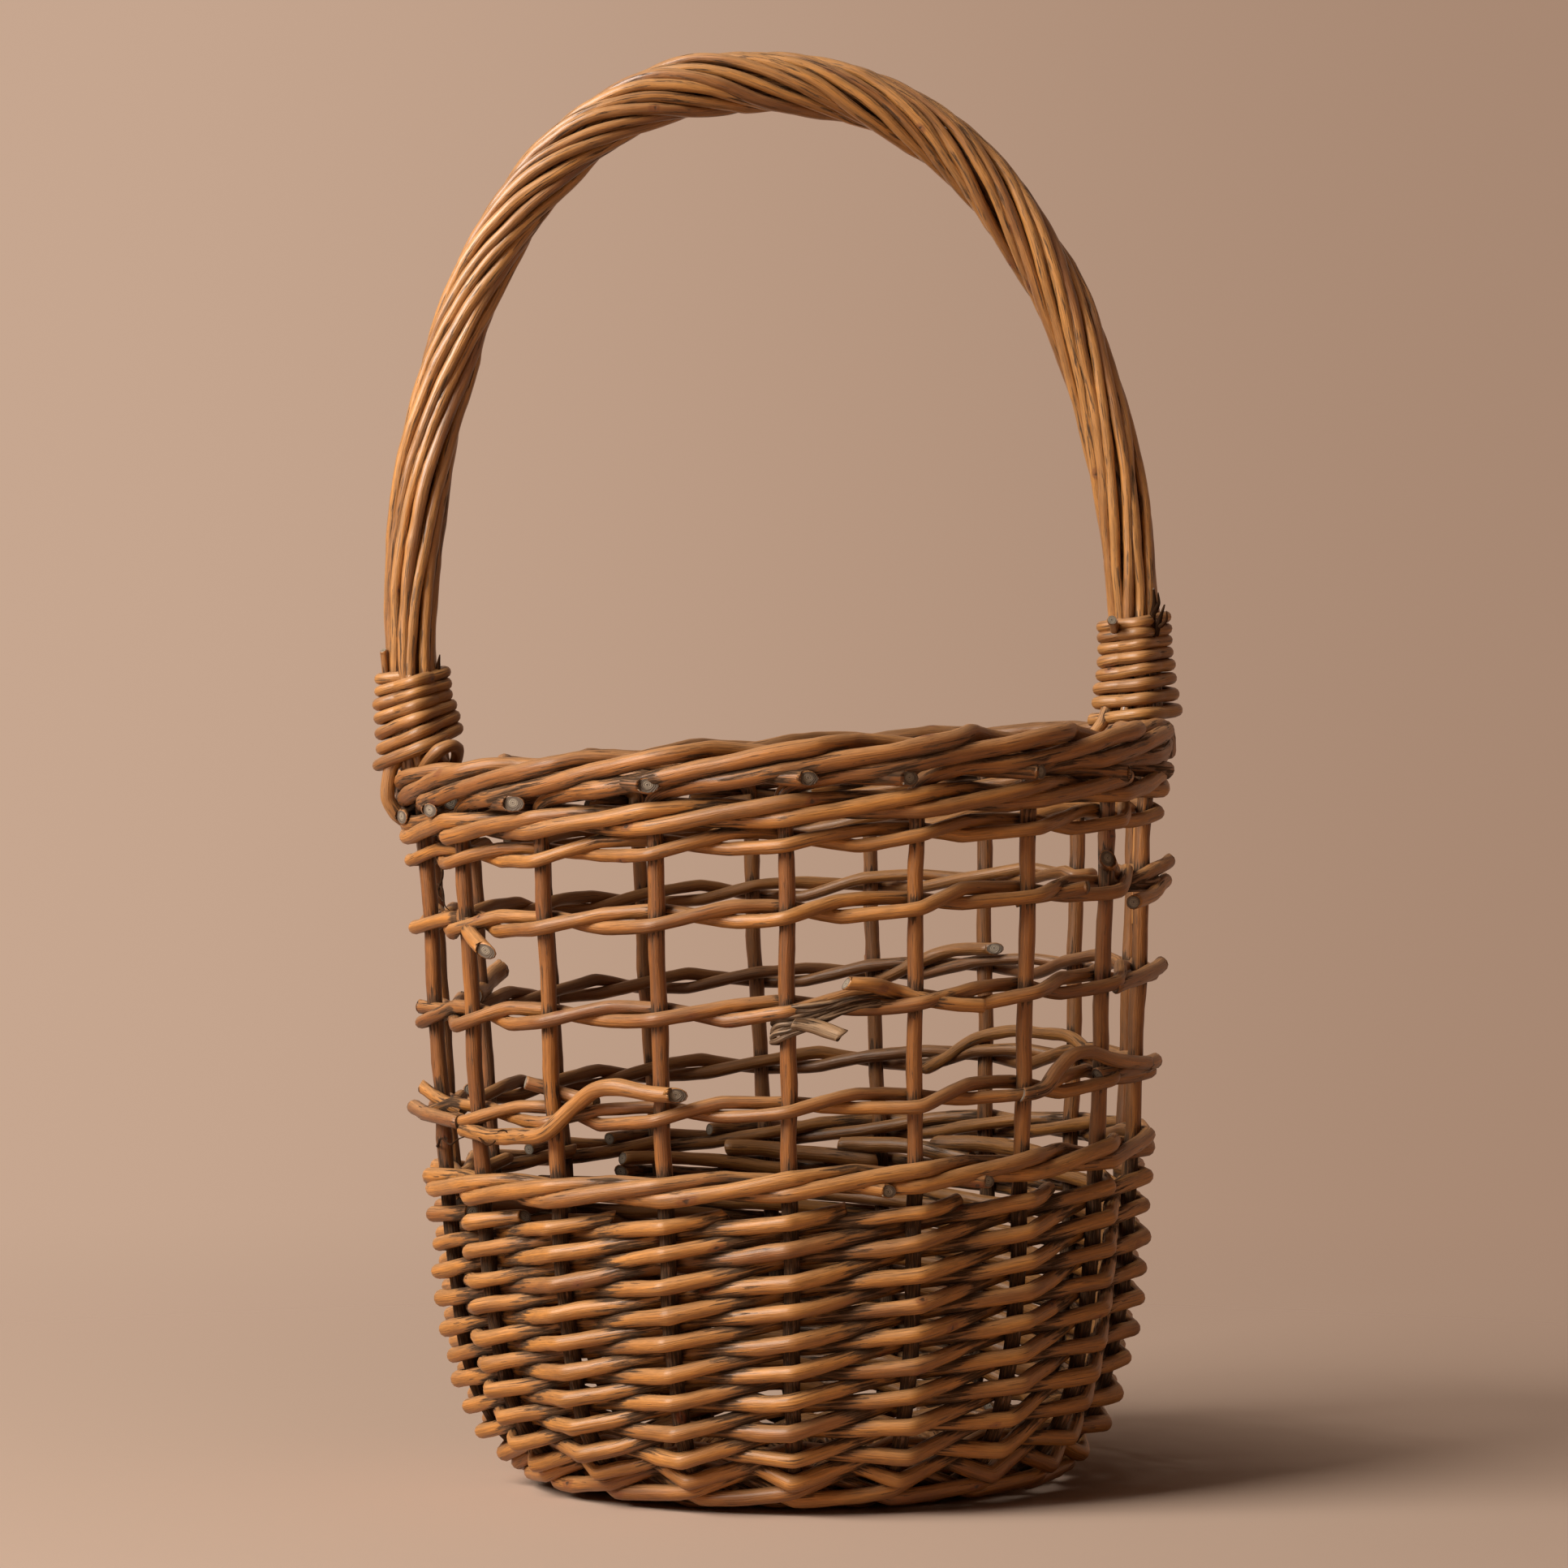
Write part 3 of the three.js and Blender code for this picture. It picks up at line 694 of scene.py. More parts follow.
# Randing: the close weave of the lower side. A rod starts inside beside each stake, goes in front
# of one and behind the next, and climbs one level at every stake. It ends inside, under the wale.
rand_crest = 1.29
rand_slim = 1.20
rand_tuck = 0.45
for start in range(stake_count):
    name = f"rand_rod_{start + 1:02d}"
    rng = random.Random(name)
    points = [woven((start - rand_tuck) * stake_turn, rand_start - 0.2 * level_height, -0.0030)]
    swellings = [rand_slim]
    thick = rng.uniform(0.94, 1.06)
    for level in range(level_count + 1):
        outside = level % 2 == 0
        swelling = (rand_crest if outside else rand_slim) * thick * rng.uniform(0.96, 1.05)
        offset = stake_radius + swelling * weaver_radius if outside else behind
        angle = (start + level) * stake_turn + astray(rng, 0.5)
        length = rand_start + level * level_height + astray(rng, 0.0005)
        points.append(woven(angle, length, offset + rng.uniform(-0.0002, 0.0004)))
        swellings.append(swelling)
    points.append(woven((start + level_count + rand_tuck) * stake_turn, rand_end + 0.0012, -0.0042))
    swellings.append(rand_slim)
    run = (points, thinned(swellings, 1.04))
    grow_rods("willow_" + name, [run], weaver_willow, [name], bend=0.06,
              steps=14, tones=[rng.uniform(0.0, 0.5)], shelter=None)

# Fitching: the four open rows. One rod is folded round a stake, and its halves are twisted round
# each other between the stakes, so that they grip each stake from both sides.
pair_spread = weaver_radius + clearance
at_stake = 0.0013
fitch_swell = 1.06
fold_turns = (45, 90, 135)
touching = stake_radius + weaver_radius + clearance
fold_ring = touching / cosine(fold_turns[0] / 2)
leg_end_at = top_wale_at - 0.0495


def fitch_rod(middle, first_stake, rng):
    """Points of one folded rod: up one half, round the fold and back along the other."""
    passes_legs = middle > leg_end_at - 2 * stake_radius
    halves = [[], []]
    for i in range(stake_count):
        angle = (first_stake + i) * stake_turn
        beside_leg = passes_legs and (first_stake + i) % stake_count in leg_stakes
        turn = stake_turn * rng.uniform(0.40, 0.62)
        sway = astray(rng, 0.0009)
        for half in (0, 1):
            front = (i + half) % 2 == 0
            offset = stake_radius + fitch_swell * weaver_radius if front else behind
            low = middle - at_stake if front else middle + at_stake
            low += astray(rng, 0.0006)
            if beside_leg:
                halves[half].append(woven(angle - leg_turn, low, offset))
            halves[half].append(woven(angle, low, offset))
            over = pair_spread if front else -pair_spread
            halves[half].append(woven(angle + turn, middle + over + sway, between_offset))
    fold = []
    for turn in fold_turns:
        back = math.degrees(fold_ring * sine(turn) / along(middle)[0])
        fold.append(woven(first_stake * stake_turn - back, middle, fold_ring * cosine(turn)))
    return halves[0][::-1] + fold + halves[1]


fitches = [("fitch_low", fitch_low_at, 13), ("fitch_middle", fitch_middle_at, 5),
           ("fitch_high", fitch_high_at, 6), ("fitch_top", fitch_top_at, 12)]
for name, middle, first_stake in fitches:
    rng = random.Random(name)
    points = fitch_rod(middle, first_stake, rng)
    radii = [weaver_radius * (fitch_swell + 0.06 * math.sin(i / 9 + rng.uniform(0, 0.4)))
             for i in range(len(points))]
    grow_rods("willow_" + name, [(points, radii)], weaver_willow, [name],
              bend=0.14, steps=8, tones=[rng.uniform(0.4, 0.9)], shelter=None)

# Loose ends: where a rod of the open rows ran out, its end sticks out and a new one was laid in
# beside it. Each has its radius, 1 for an end cut to face out, -1 to face in, and its stops:
# degrees from the front, millimetres along the stakes and millimetres outside them.
loose_ends = [
    ("high_stub", 0.0028, 1, [
        (-66, 217, -4), (-60, 214, 0), (-55.7, 210.8, 4), (-49.8, 205.5, 7.5)]),
    ("left_stub", 0.0036, -1, [(250, 184, -6), (243, 185, -2), (234, 188.5, 5), (227.5, 192, 9)]),
    ("left_tip_low", 0.0026, 1, [(-62, 146, 5), (-74, 147.5, 6), (-82, 148.5, 7), (-88, 149, 9)]),
    ("left_tip_up", 0.0024, 1, [(-70, 149, -3), (-77, 152, 1.5), (-83, 156.5, 6)]),
    ("left_tip_middle", 0.0024, 1, [(-70, 183, -4), (-78, 184, 0), (-84, 184.6, 5)]),
    ("middle_back", 0.0024, -1, [
        (161, 186.5, 6), (159.8, 178.5, 0), (152, 183, -5), (145, 187, -6), (134.8, 187.5, -9)]),
    ("low_point", 0.0024, 0, [
        (-33, 152.5, -4.5), (-38, 154.5, -4.5), (-41.5, 158, 0), (-44, 160.5, 4)]),
    ("low_front", 0.0028, 1, [
        (-60, 143.5, 5), (-52, 142, 5.2), (-46, 142.6, 6), (-39.5, 143.6, 6), (-34.5, 152, 4),
        (-30.5, 157.6, 5), (-26, 158.6, 6.2), (-20.5, 156.5, 6.8), (-16.6, 155.4, 8)]),
    ("middle_front", 0.0024, 0, [
        (8.6, 188.8, 6), (12, 188, 5.5), (17.1, 184.7, 0), (22.1, 181, 3), (26, 179, 5),
        (29.8, 178, 6.5)]),
    ("high_right_up", 0.0024, 1, [(70, 212, -3), (76, 215, 2), (82, 218, 6), (86.5, 219.6, 8.5)]),
    ("high_right", 0.0026, 1, [(66, 207, 5), (74, 209, 6), (81, 211.5, 6.5), (85, 212.6, 8)]),
    ("middle_right", 0.0027, 1, [(60, 179, 5), (68, 181, 5.5), (76, 182.6, 6), (82, 184, 7.5)]),
    ("low_right", 0.0027, 1, [(58, 150, 2), (66, 150, 4), (74, 150.4, 6), (80, 151, 7.5)]),
    ("low_hump", 0.0024, 1, [
        (38, 147, 5), (42.4, 148, 4.5), (45.4, 153.4, 4), (48.6, 158.3, 5), (53, 158.5, 5.5),
        (58, 155.5, 6), (66, 152.5, 7), (72, 151, 8)]),
    ("dark_stub", 0.0024, 1, [(40, 211, -4), (44, 212.5, 0), (48, 213.6, 4), (50.5, 214.4, 6)]),
    ("dark_disc", 0.0031, 1, [(70, 214, -6), (65, 217.5, -3), (60.5, 220.6, 0), (57.2, 222.6, 4)]),
    ("low_back", 0.0023, 0, [
        (150.5, 144, -3), (146, 148, -5.5), (140, 155, -5.5), (133, 157, -5.5), (126, 156.5, -5),
        (118, 155.5, -4.5), (111, 149.5, -4)]),
    ("butt_back_1", 0.0029, 0, [
        (187.5, 118.4, -8), (180, 117, -8.4), (171.5, 114.5, -8.8), (160, 111, -7)]),
    ("butt_back_2", 0.0029, 0, [
        (166.5, 117, -9), (159, 116.6, -9.4), (150, 115, -9.8), (140, 111, -8)]),
    ("butt_back_3", 0.0029, 0, [
        (147.5, 116.4, -9), (138, 116.4, -9.6), (129, 115.2, -9.8), (120, 112, -8)]),
    ("butt_back_4", 0.0025, 0, [
        (209, 118, -7), (198, 116, -7.5), (188, 113.5, -8), (176, 109, -7)]),
    ("butt_front_1", 0.0024, 1, [(5, 123.5, -4), (9, 121.6, 0), (12, 120.5, 4), (14.6, 119.6, 7)]),
    ("butt_front_2", 0.0023, 1, [(21.5, 122, -4), (25, 121, 0), (28.5, 120.4, 4), (31, 119.8, 7)]),
]
for name, thick, facing, stops in loose_ends:
    rng = random.Random(name)
    radii = [thick * rng.uniform(0.95, 1.05) for _ in stops]
    run = (stops_of(stops), radii)
    if facing:
        run += (outwards(stops[-1][0]) * facing,)
    grow_rods("loose_" + name, [run], weaver_willow, bend=0.3, steps=8,
              tones=[rng.uniform(0.2, 0.9)], shelter=0.5)

# Split rod: on the middle open row one rod has broken in front of a stake, and its grey, frayed
# fibres are wrapped round the stake beside its stub.
frayed_willow = willow("frayed_willow", (0.42, 0.265, 0.145), (0.17, 0.095, 0.050), gloss=0.5)
fibre_count = 7
fibre_gap = 1.5
fibre_stops = [(14, 183, 2, 0.3), (9, 182, 5, 0.5), (4, 179, 6.5, 0.8), (0.5, 177.5, 5.5, 1),
               (-1.6, 176, 3.5, 1), (-2.3, 174.5, 0, 1), (-1.2, 173.5, -3.8, 0.8)]
fibre_radii = [0.0002, 0.0006, 0.0009, 0.0010, 0.0010, 0.0009, 0.0006]
stub_stops = [(1, 177, 5.5), (3.4, 176, 7), (5.5, 174.4, 9), (7.4, 172.8, 11.5)]
runs = []
for number in range(fibre_count):
    rng = random.Random(f"fray {number}")
    rise = (number - fibre_count // 2) * fibre_gap
    points = stops_of([(angle, length + rise * share + astray(rng, 0.6),
                        offset + rng.uniform(-0.4, 0.6))
                       for angle, length, offset, share in fibre_stops])
    runs.append((points, fibre_radii))
runs.append((stops_of(stub_stops), [0.0022, 0.0025, 0.0026, 0.0025]))
grow_rods("frayed_wrap", runs, frayed_willow, bend=0.33, steps=8)

# Bark shreds: thin, dark, curled shreds of bark that have come off the stakes at the left and
# hang in the openings, in degrees, millimetres along the stakes and millimetres outside them.
bark_willow = willow("bark_willow", (0.050, 0.018, 0.006), (0.020, 0.008, 0.003), gloss=0.8,
                     polish=0.0, sheen=0.2, paled=0.0)
shreds = [
    ("low_a", 0.0005, [
        (-79.6, 135.7, 3), (-68.3, 139.8, 6), (-62.7, 138.9, 8), (-59.7, 141.4, 8),
        (-59, 142.1, 5)]),
    ("low_b", 0.0005, [
        (-58.7, 144.3, 4), (-54.1, 141.6, 7), (-51.4, 139.2, 8), (-49.6, 140.4, 8),
        (-49.6, 143.4, 6)]),
    ("low_c", 0.0004, [
        (-54.7, 145.1, 4), (-50.6, 142.9, 7), (-47.6, 144.9, 8), (-45, 142.9, 9),
        (-42.9, 143.5, 9)]),
    ("high_a", 0.0005, [(-75.8, 227, -2), (-66.6, 224.2, 2), (-65, 221, 3), (-62.2, 218.9, 4)]),
    ("high_b", 0.0007, [(-74, 235.5, -2), (-72.4, 230.4, -2), (-72, 225, 0), (-66.8, 222, 2)]),
]
for name, thick, stops in shreds:
    radii = [thick * (1 - 0.7 * i / (len(stops) - 1)) for i in range(len(stops))]
    grow_rods("shred_" + name, [(stops_of(stops), radii)], bark_willow,
              bend=0.36, steps=8, tones=[0.5])

# Handle bow: the stout core of the handle. Its ends are thinned and pushed down inside the
# open-work, beside two opposite stakes.
handle_rise = 0.2318
arch_power = 2.37
arch_lean = 0.0075
left_bulge = 0.0078
bulge_reach = 0.030
bow_radius = 0.0044
leg_inset = 0.001
leg_tip_radius = 0.0013
strand_count = 12
strand_radius = 0.0019
strand_ring = 0.0079
strand_turns = 2.4
twist_swing = 0.75
foot_scale = 0.87
draw_start = 0.030
draw_end = 0.110
foot_height = border_point(crossing_start)[1] + stake_radius + clearance
leg_angles = [stake * stake_turn - leg_turn for stake in leg_stakes]
feet = [border_spot(angle, rim_place[0] - leg_inset, foot_height) for angle in leg_angles]
foot_middle = (feet[0] + feet[1]) / 2
half_span = (feet[1] - feet[0]) / 2
arch_side = Vector((half_span.x, half_span.y, 0)).normalized().cross(Vector((0, 0, 1)))


def arch_raw(share):
    """The handle's middle line, from the left foot over the top to the right one."""
    turn = math.pi * min(max(share, 0), 1)
    across = -math.copysign(abs(math.cos(turn)) ** (2 / arch_power), math.cos(turn))
    up = max(math.sin(turn), 0) ** (2 / arch_power)
    point = foot_middle.copy()
    bulged = left_bulge * (1 - math.exp(-handle_rise * up / bulge_reach)) * (1 - up * up)
    point.x += half_span.x * across - arch_lean * up * up - (bulged if across < 0 else 0)
    point.y += half_span.y * across
    point.z += handle_rise * up + half_span.z * across * (1 - up) ** 2
    return point


arch_turns = np.linspace(0, 1, 2001)
arch_line = np.array([arch_raw(t) for t in arch_turns])
arch_at = lengths_along(arch_line)
arch_length = arch_at[-1]
arch_step = 0.002


def arch_frame(share):
    """A point so far along the handle's middle line, and its direction away from the arch."""
    here, low, high = (
        Vector([np.interp(place * arch_length, arch_at, arch_line[:, i]) for i in range(3)])
        for place in (share, max(share - arch_step, 0), min(share + arch_step, 1)))
    return here, arch_side.cross((high - low).normalized()).normalized()


def drawn_in(share):
    """How much thinner the bundle is near the feet."""
    near = min(share, 1 - share) * arch_length
    eased = min(max((near - draw_start) / (draw_end - draw_start), 0), 1)
    return foot_scale + (1 - foot_scale) * eased * eased * (3 - 2 * eased)


handle_willow = willow("handle_willow", straw, russet, gloss=0.36, dirt=0.06, polish=0.85,
                       sheen=0.9, paled=0.55, painted_inside_shade=0.0)
bow_steps = 40
shares = [i / bow_steps for i in range(1, bow_steps)]
leg_lengths = [leg_end_at, (leg_end_at + top_wale_at) / 2, top_wale_at]


def bow_leg(angle):
    """The end of the bow, from its tip in the open-work up to the top of the border."""
    points = [woven(angle, length, 0) for length in leg_lengths]
    return points + [border_spot(angle, rim_place[0] - leg_inset, height)
                     for height in (border_height, foot_height)]


leg_radii = [leg_tip_radius, 0.002, stake_radius, stake_radius, stake_radius]
bow_points = bow_leg(leg_angles[0]) + [arch_frame(share)[0] for share in shares]
bow_points += bow_leg(leg_angles[1])[::-1]
bow_radii = leg_radii + [bow_radius * drawn_in(share) for share in shares] + leg_radii[::-1]
grow_rods("willow_handle_bow", [(bow_points, bow_radii)], handle_willow,
          ["handle_bow"], bend=0.33, steps=4)

# Handle rods: twelve slender rods laid round the bow and twisted together like a rope, fastest
# near the top. They are drawn in towards the feet, where the bindings hold them.
strand_steps = 64
crown_at = 0.5
crown_reach = 0.09
crown_swell = 0.10
wobble_reaches = [0.085, 0.05, 0.0005, 0.0003]
least_strand = 0.60
strand_gain = 0.42


def twist_at(share):
    """How far the rods have turned round the bow."""
    slower = twist_swing * math.sin(2 * math.pi * share) / (2 * math.pi)
    return 2 * math.pi * strand_turns * (share - slower)


for group in range(4):
    runs = []
    tones = []
    for member in range(3):
        number = group * 3 + member
        rng = random.Random(f"strand {number}")
        waves = [(reach, rng.uniform(1.2, 5.5), rng.uniform(0, 7)) for reach in wobble_reaches]
        lobe = 2 * math.pi * (number + 0.5) / strand_count
        points = []
        for i in range(strand_steps + 1):
            share = i / strand_steps
            wobble = [reach * math.sin(2 * math.pi * rate * share + phase)
                      for reach, rate, phase in waves]
            crown = 1 + crown_swell * math.exp(-((share - crown_at) / crown_reach) ** 2)
            point, out = arch_frame(share)
            angle = lobe + twist_at(share) + wobble[0] + wobble[1]
            ring = drawn_in(share) * (strand_ring * crown + wobble[2] + wobble[3])
            points.append(point + out * ring * math.cos(angle) + arch_side * ring * math.sin(angle))
        thick = rng.uniform(0.88, 1.20)
        radii = [strand_radius * thick * (strand_gain * drawn_in(i / strand_steps) + least_strand)
                 for i in range(strand_steps + 1)]
        runs.append((points, radii))
        tones.append(rng.uniform(0.0, 0.6))
    name = f"handle_strands_{group + 1}"
    grow_rods("willow_" + name, runs, handle_willow, [name], bend=0.33, steps=5,
              tones=tones, shelter=0.34)

# Handle ends: at the left foot a thick fibrous rod turns out round the border, and at both feet
# ends of the twisted rods splay out under the bindings and stick out over them. In millimetres.
binding_willow = willow("binding_willow", straw, russet, gloss=0.38, polish=0.45, painted_inside_shade=0.0)
foot_ends = [
    ("left_root", 0.0027, handle_willow, [
        (-127, -20, 263), (-132.5, -20, 255.5), (-135.6, -20, 250.5), (-136.6, -19.5, 244.5),
        (-136.6, -19, 239.5), (-133.5, -18, 234.2), (-128.5, -16, 230.8), (-121, -12, 230),
        (-112, 0, 234)]),
    ("left_foot_a", 0.0021, handle_willow, [
        (-130, -16, 262), (-127, -20, 252), (-122, -22, 245), (-116, -16, 240)]),
    ("left_foot_b", 0.0022, handle_willow, [
        (-121, -18, 262), (-118, -24, 253), (-113, -27, 248), (-106, -18, 244)]),
    ("left_loop", 0.0023, binding_willow, [
        (-125, -18, 242), (-124.8, -25, 247.8), (-122, -29, 252.8), (-118.2, -31, 256.6),
        (-114.4, -30, 258.2), (-112.2, -25.5, 256.8), (-113, -19, 252), (-116, -13, 246)]),
    ("left_top_a", 0.0012, handle_willow, [
        (-137.2, -18, 276), (-138, -19, 284), (-138.4, -19.5, 290.5)]),
    ("left_top_b", 0.0012, bark_willow, [
        (-119.5, -18, 279), (-119.3, -19, 286), (-118.8, -19.5, 289)]),
    ("right_curl", 0.0029, stake_willow, [
        (112, -50, 259), (122, -42, 262), (130, -26, 264.5), (135, -8, 263), (136.5, 8, 256)]),
    ("right_foot_a", 0.0022, handle_willow, [
        (116, 14, 273), (114, 10, 266), (109.5, 7, 260.5), (105, 3, 253)]),
    ("right_foot_b", 0.0021, handle_willow, [
        (122, 9, 273), (121, 7, 266), (119, 5, 260), (117, 1, 251)]),
    ("right_foot_c", 0.0022, handle_willow, [
        (129, 12, 273), (130, 9, 266), (130.5, 5, 260), (130, 1, 250)]),
    ("right_top", 0.0018, handle_willow, [(118, 12, 298), (117, 6, 300.5), (116.2, 2, 301.6)]),
    ("right_bark_a", 0.0017, bark_willow, [
        (130.5, 10, 297), (130.8, 9, 303), (131.4, 8, 308), (131, 7, 312.5)]),
    ("right_bark_b", 0.0011, bark_willow, [(131, 9, 304), (132.8, 7, 308), (132.6, 6, 311.5)]),
    ("right_bark_c", 0.0014, bark_willow, [(132, 10, 297), (133.4, 8, 302), (134.9, 6, 307)]),
    ("right_bark_d", 0.0009, bark_willow, [(133.6, 8, 300), (135.4, 6, 302), (135.6, 5, 305)]),
]
for name, thick, finish, stops in foot_ends:
    rng = random.Random(name)
    points = [Vector(stop) / 1000 for stop in stops]
    radii = [thick * rng.uniform(0.92, 1.06) for _ in points]
    if finish == bark_willow:
        radii = [radius * (1 - 0.8 * i / (len(stops) - 1)) for i, radius in enumerate(radii)]
    grow_rods("handle_" + name, [(points, radii)], finish, bend=0.24,
              steps=8, tones=[rng.uniform(0.1, 0.5)], shelter=0.4)

# Bindings: a long rod wound round each foot of the handle in eight close turns, wider at the
# border, that holds the twisted rods to the bow.
binding_radius = 0.00195
binding_pitch = 2 * binding_radius + 0.0006
binding_spread = 0.0032
binding_loops = 8
steps_in_loop = 8
corner_out = 0.0015
closing = 0.02
slants = [(0.17, 0.10), (-0.02, 0.0)]
dropped = [0.0018, 0.0026]
dropped_foot = [-0.0007, 0.0026]
flared = [0.0026, 0.0017]
narrowed = [0.0016, 0.0008]
wound_from = [(6, -5), (4, 3)]
tucked = 0.0040
tuck_share = 0.6
thick_start = 1.18
thick_loss = 0.12
bundle_radius = (strand_ring + strand_radius) * foot_scale
binding_ring = bundle_radius + clearance + binding_radius
for leg, name in enumerate(("handle_binding_left", "handle_binding_right")):
    rng = random.Random(name)
    points = []
    radii = []
    first, last = wound_from[leg]
    for i in range(first, binding_loops * steps_in_loop + last):
        turns = i / steps_in_loop
        wound = turns * (1 + closing * (binding_loops - turns))
        height = binding_radius + 2 * clearance + binding_pitch * wound
        share = height / arch_length if leg == 0 else 1 - height / arch_length
        point, out = arch_frame(share)
        ring = binding_ring + binding_spread * math.exp(-turns / 2) + astray(rng, 0.0004)
        ring += corner_out if i % 2 == 0 else -corner_out
        ring += flared[leg] * math.exp(3 * (first / steps_in_loop - turns))
        ring -= narrowed[leg] * turns / binding_loops
        over = max(0, i - binding_loops * steps_in_loop - last + 3) / 2
        tuck = over * tucked * tuck_share
        ring -= tuck
        angle = 2 * math.pi * turns * (1 if leg == 0 else -1)
        steady, at_foot = slants[leg]
        rise = -(steady + at_foot * math.exp(-turns)) * ring * math.cos(angle)
        point += out * ring * math.cos(angle) + arch_side * ring * math.sin(angle)
        rise += astray(rng, 0.0002) - tuck
        rise -= dropped[leg] + dropped_foot[leg] * math.exp(-turns / 1.5)
        points.append(point + Vector((0, 0, rise)))
        thick = thick_start - thick_loss * turns / binding_loops
        radii.append(binding_radius * thick * rng.uniform(0.98, 1.04))
    grow_rods("willow_" + name, [(points, radii)], binding_willow, [name],
              bend=0.09, steps=6, tones=[0.45], shelter=0.4)

# Grime and painted shade: dirt of many years with painted shade where rods touch and in the
# hollows of the weave, black where rods cross deep in the side, and brown over the stakes low
# down. It is worked out from how near the next rod is and how deep in the weave.
# How near another rod must come to lay grime and painted contact shade.
grime_and_shade_reach = 0.0040
near_reach = 0.0110
weave_depth = 0.0066
shallow = 0.30
low_stakes = 0.118
low_grime = 0.42
# The share of grime and painted shade deep in the weave for rand and wale rods, and on the border.
deep_grime_and_shade = 0.62
border_grime_and_shade = 0.62
border_tone = 0.45
above_weave = border_height - 0.003
tree = kdtree.KDTree(sum(len(rod["centres"]) for rod in rods))
owners = []
for number, rod in enumerate(rods):
    for ring, centre in enumerate(rod["centres"]):
        tree.insert(centre, len(owners))
        owners.append((number, ring))
tree.balance()
grime_and_shade_of = {rod["piece"]: [] for rod in rods}
for number, rod in enumerate(rods):
    mesh = bpy.data.objects[rod["piece"]].data
    rings = rod["rings"]
    corners = rod_corners(mesh)[:rings.stop * sides * 3].reshape(-1, sides, 3)[rings]
    grime_and_shade = np.zeros((len(corners), sides))
    for ring, centre in enumerate(rod["centres"]):
        found = [owners[index] for _, index, _ in tree.find_range(centre, near_reach)]
        found = [(other, place) for other, place in found if other != number]
        if not found:
            continue
        spots = np.array([rods[other]["centres"][place] for other, place in found])
        girths = np.array([rods[other]["girth"][place] for other, place in found])
        gaps = np.linalg.norm(corners[ring][:, None] - spots[None], axis=2) - girths
        # Grime and painted contact shade, stronger the nearer another rod comes.
        grime_and_shade[ring] = np.clip(1 - gaps.min(axis=1) / grime_and_shade_reach, 0, 1)
    border = np.zeros(grime_and_shade.shape, bool)
    if rod["shelter"] is None:
        x, y, z = (corners[..., axis] for axis in range(3))
        tilted = rim_tilt * (1 - np.exp(-np.maximum(z - tilt_start, 0) / tilt_reach))
        level = z - tilted * x / rim_radius
        reach = np.hypot(x - foot_lean * (1 - level / lean_reach), y)
        outside = reach - np.interp(level, outline[:, 1], outline[:, 0])
        depth = np.clip(1 - np.abs(outside) / weave_depth, 0, 1)
        border = level > above_weave
        grime_and_shade *= np.where(border, border_grime_and_shade, shallow + (1 - shallow) * depth)
        if "rand" in rod["piece"] or "wale" in rod["piece"]:
            # Rand and wale rods get grime and painted shade deep in the weave, where they pass
            # behind stakes.
            grime_and_shade = np.maximum(grime_and_shade, 0.2 * grime_and_shade + deep_grime_and_shade * depth ** 2)
        if rod["piece"].startswith("side_stake"):
            grime_and_shade += low_grime * np.clip((low_stakes - z) / 0.012, 0, 1)
    else:
        grime_and_shade *= rod["shelter"]
    grime_and_shade_of[rod["piece"]].append((rings, grime_and_shade, np.where(border, border_tone, 1)))
for name, parts in grime_and_shade_of.items():
    mesh = bpy.data.objects[name].data
    wear_and_shade = np.zeros(len(mesh.vertices) * 3, np.float32)
    mesh.attributes["wear_and_shade"].data.foreach_get("vector", wear_and_shade)
    wear_and_shade = wear_and_shade.reshape(-1, 3)
    for rings, grime_and_shade, toned in parts:
        covered = slice(rings.start * sides, rings.stop * sides)
        wear_and_shade[covered, 0] = grime_and_shade.ravel()
        wear_and_shade[covered, 1] *= toned.ravel()
    mesh.attributes["wear_and_shade"].data.foreach_set("vector", wear_and_shade.ravel())

# Stage: a plain pale floor that fades out into a pale background on every side, which has painted
# light: lighter at the left, towards the key lamp, and darker at the right. A large soft lamp at
# the upper left in front, and a weak one at the right.
floor_near = (0.64, 0.445, 0.325, 1)
floor_far = (0.86, 0.60, 0.44, 1)
floor_reach = 6.0
fade_start, fade_end = 0.12, 1.15
shadow_start, shadow_end = 0.11, 0.30
least_faded = 0.30
# The background's painted light: lighter to the left, towards the key lamp, and darker to the
# right.
background_painted_lit_left = (0.575, 0.388, 0.280, 1)
background_painted_shade_right = (0.385, 0.243, 0.168, 1)
gradient_half = 0.16
room_colour = (1.0, 0.58, 0.30, 1)
room_strength = 0.012
lamp_aim = Vector((0, 0, 0.2))


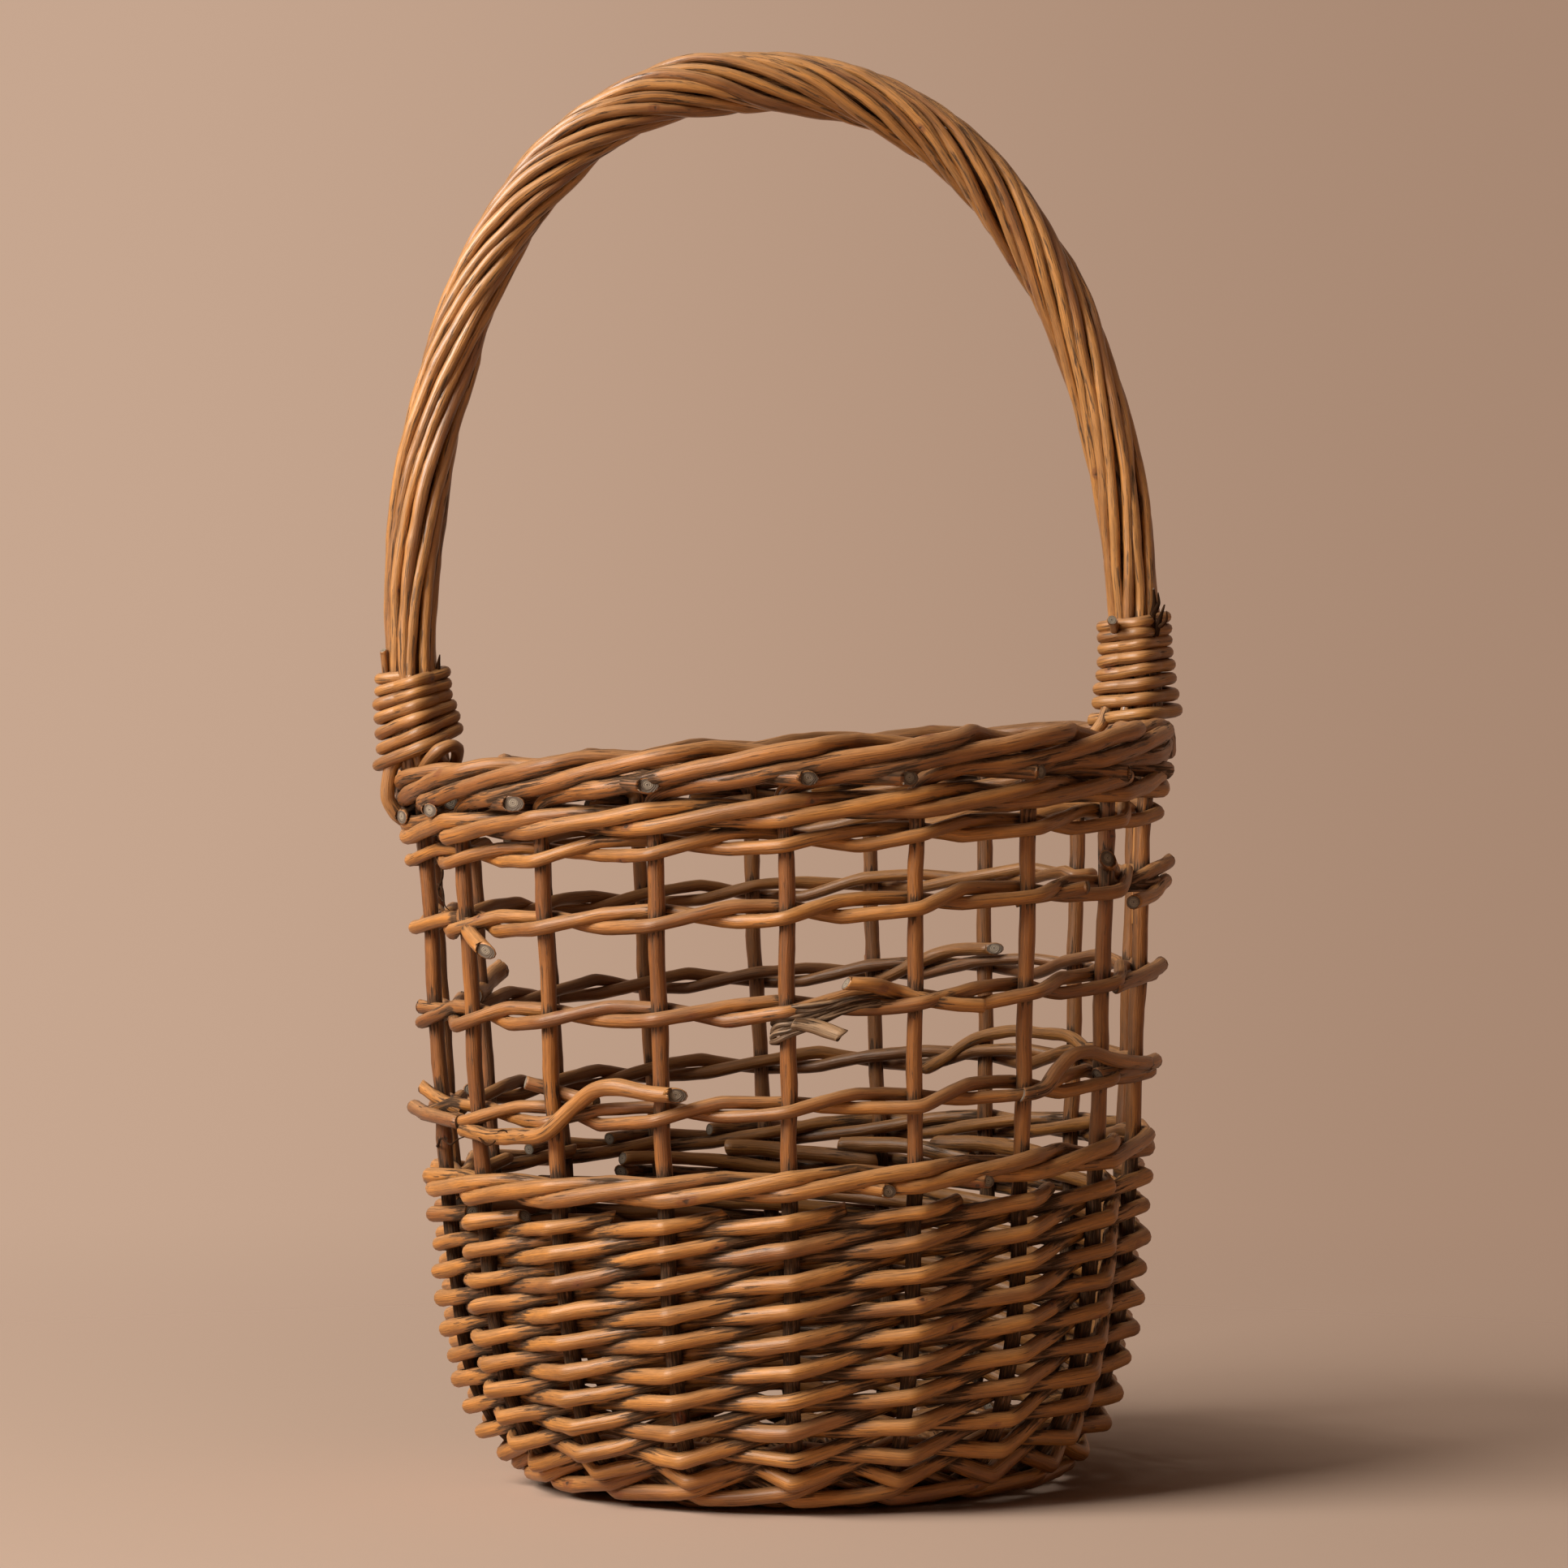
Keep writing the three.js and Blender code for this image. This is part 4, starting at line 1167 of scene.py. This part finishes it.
def sees_background(wire):
    """1 for the camera's rays and for those that gloss or glass sends on, 0 for light."""
    camera_ray, glossy_ray, clear_ray = (
        wire.node("LightPath", {}, {}, f"Is {kind} Ray")
        for kind in ("Camera", "Glossy", "Transmission"))
    return camera_ray + glossy_ray + clear_ray


bm = bmesh.new()
bmesh.ops.create_circle(bm, cap_ends=True, radius=floor_reach, segments=64)
mesh = bpy.data.meshes.new("floor")
bm.to_mesh(mesh)
bm.free()
floor = bpy.data.objects.new("floor", mesh)
scene.collection.objects.link(floor)
material, wire = bare(bpy.data.materials, "floor")
reach = wire.vector("LENGTH", wire.node("TexCoord", {}, {}, "Object"), output="Value")
away = reach.step(fade_start, fade_end)
paled = reach.step(shadow_start, shadow_end) * least_faded + away * (1.0 - least_faded)
sockets = {"Base Color": wire.mixed(away, floor_near, floor_far), "Roughness": 0.9}
paint = wire.node("BsdfPrincipled", {}, sockets)
clear = wire.node("BsdfTransparent", {}, {})
surface = wire.node("MixShader", {}, {0: sees_background(wire) * paled, 1: paint, 2: clear})
wire.node("OutputMaterial", {}, {"Surface": surface})
mesh.materials.append(material)

lamps = [
    ("key", (-1.75, -1.20, 1.60), 1.5, 93, (1.0, 0.98, 0.95)),
    ("fill", (2.2, -1.8, 0.9), 2.0, 0.4, (1.0, 0.94, 0.88)),
]
for name, place, size, power, colour in lamps:
    lamp = bpy.data.lights.new(name, "AREA")
    lamp.size = size
    lamp.energy = power
    lamp.color = colour
    holder = bpy.data.objects.new(name, lamp)
    holder.location = place
    holder.rotation_euler = (lamp_aim - Vector(place)).to_track_quat("-Z", "Y").to_euler()
    scene.collection.objects.link(holder)
world, wire = bare(bpy.data.worlds, "studio")
towards = wire.node("TexCoord", {}, {}, "Generated").part("X")
# Painted light on the background: it goes from the lighter colour at the left to the darker one at
# the right.
pale = wire.mixed(towards.step(-gradient_half, gradient_half), background_painted_lit_left, background_painted_shade_right)
shown = wire.node("Background", {}, {"Color": pale, "Strength": 1.0})
lighting = wire.node("Background", {}, {"Color": room_colour, "Strength": room_strength})
surface = wire.node("MixShader", {}, {0: sees_background(wire), 1: lighting, 2: shown})
wire.node("OutputWorld", {}, {"Surface": surface})
scene.world = world
scene.view_settings.view_transform = "Standard"
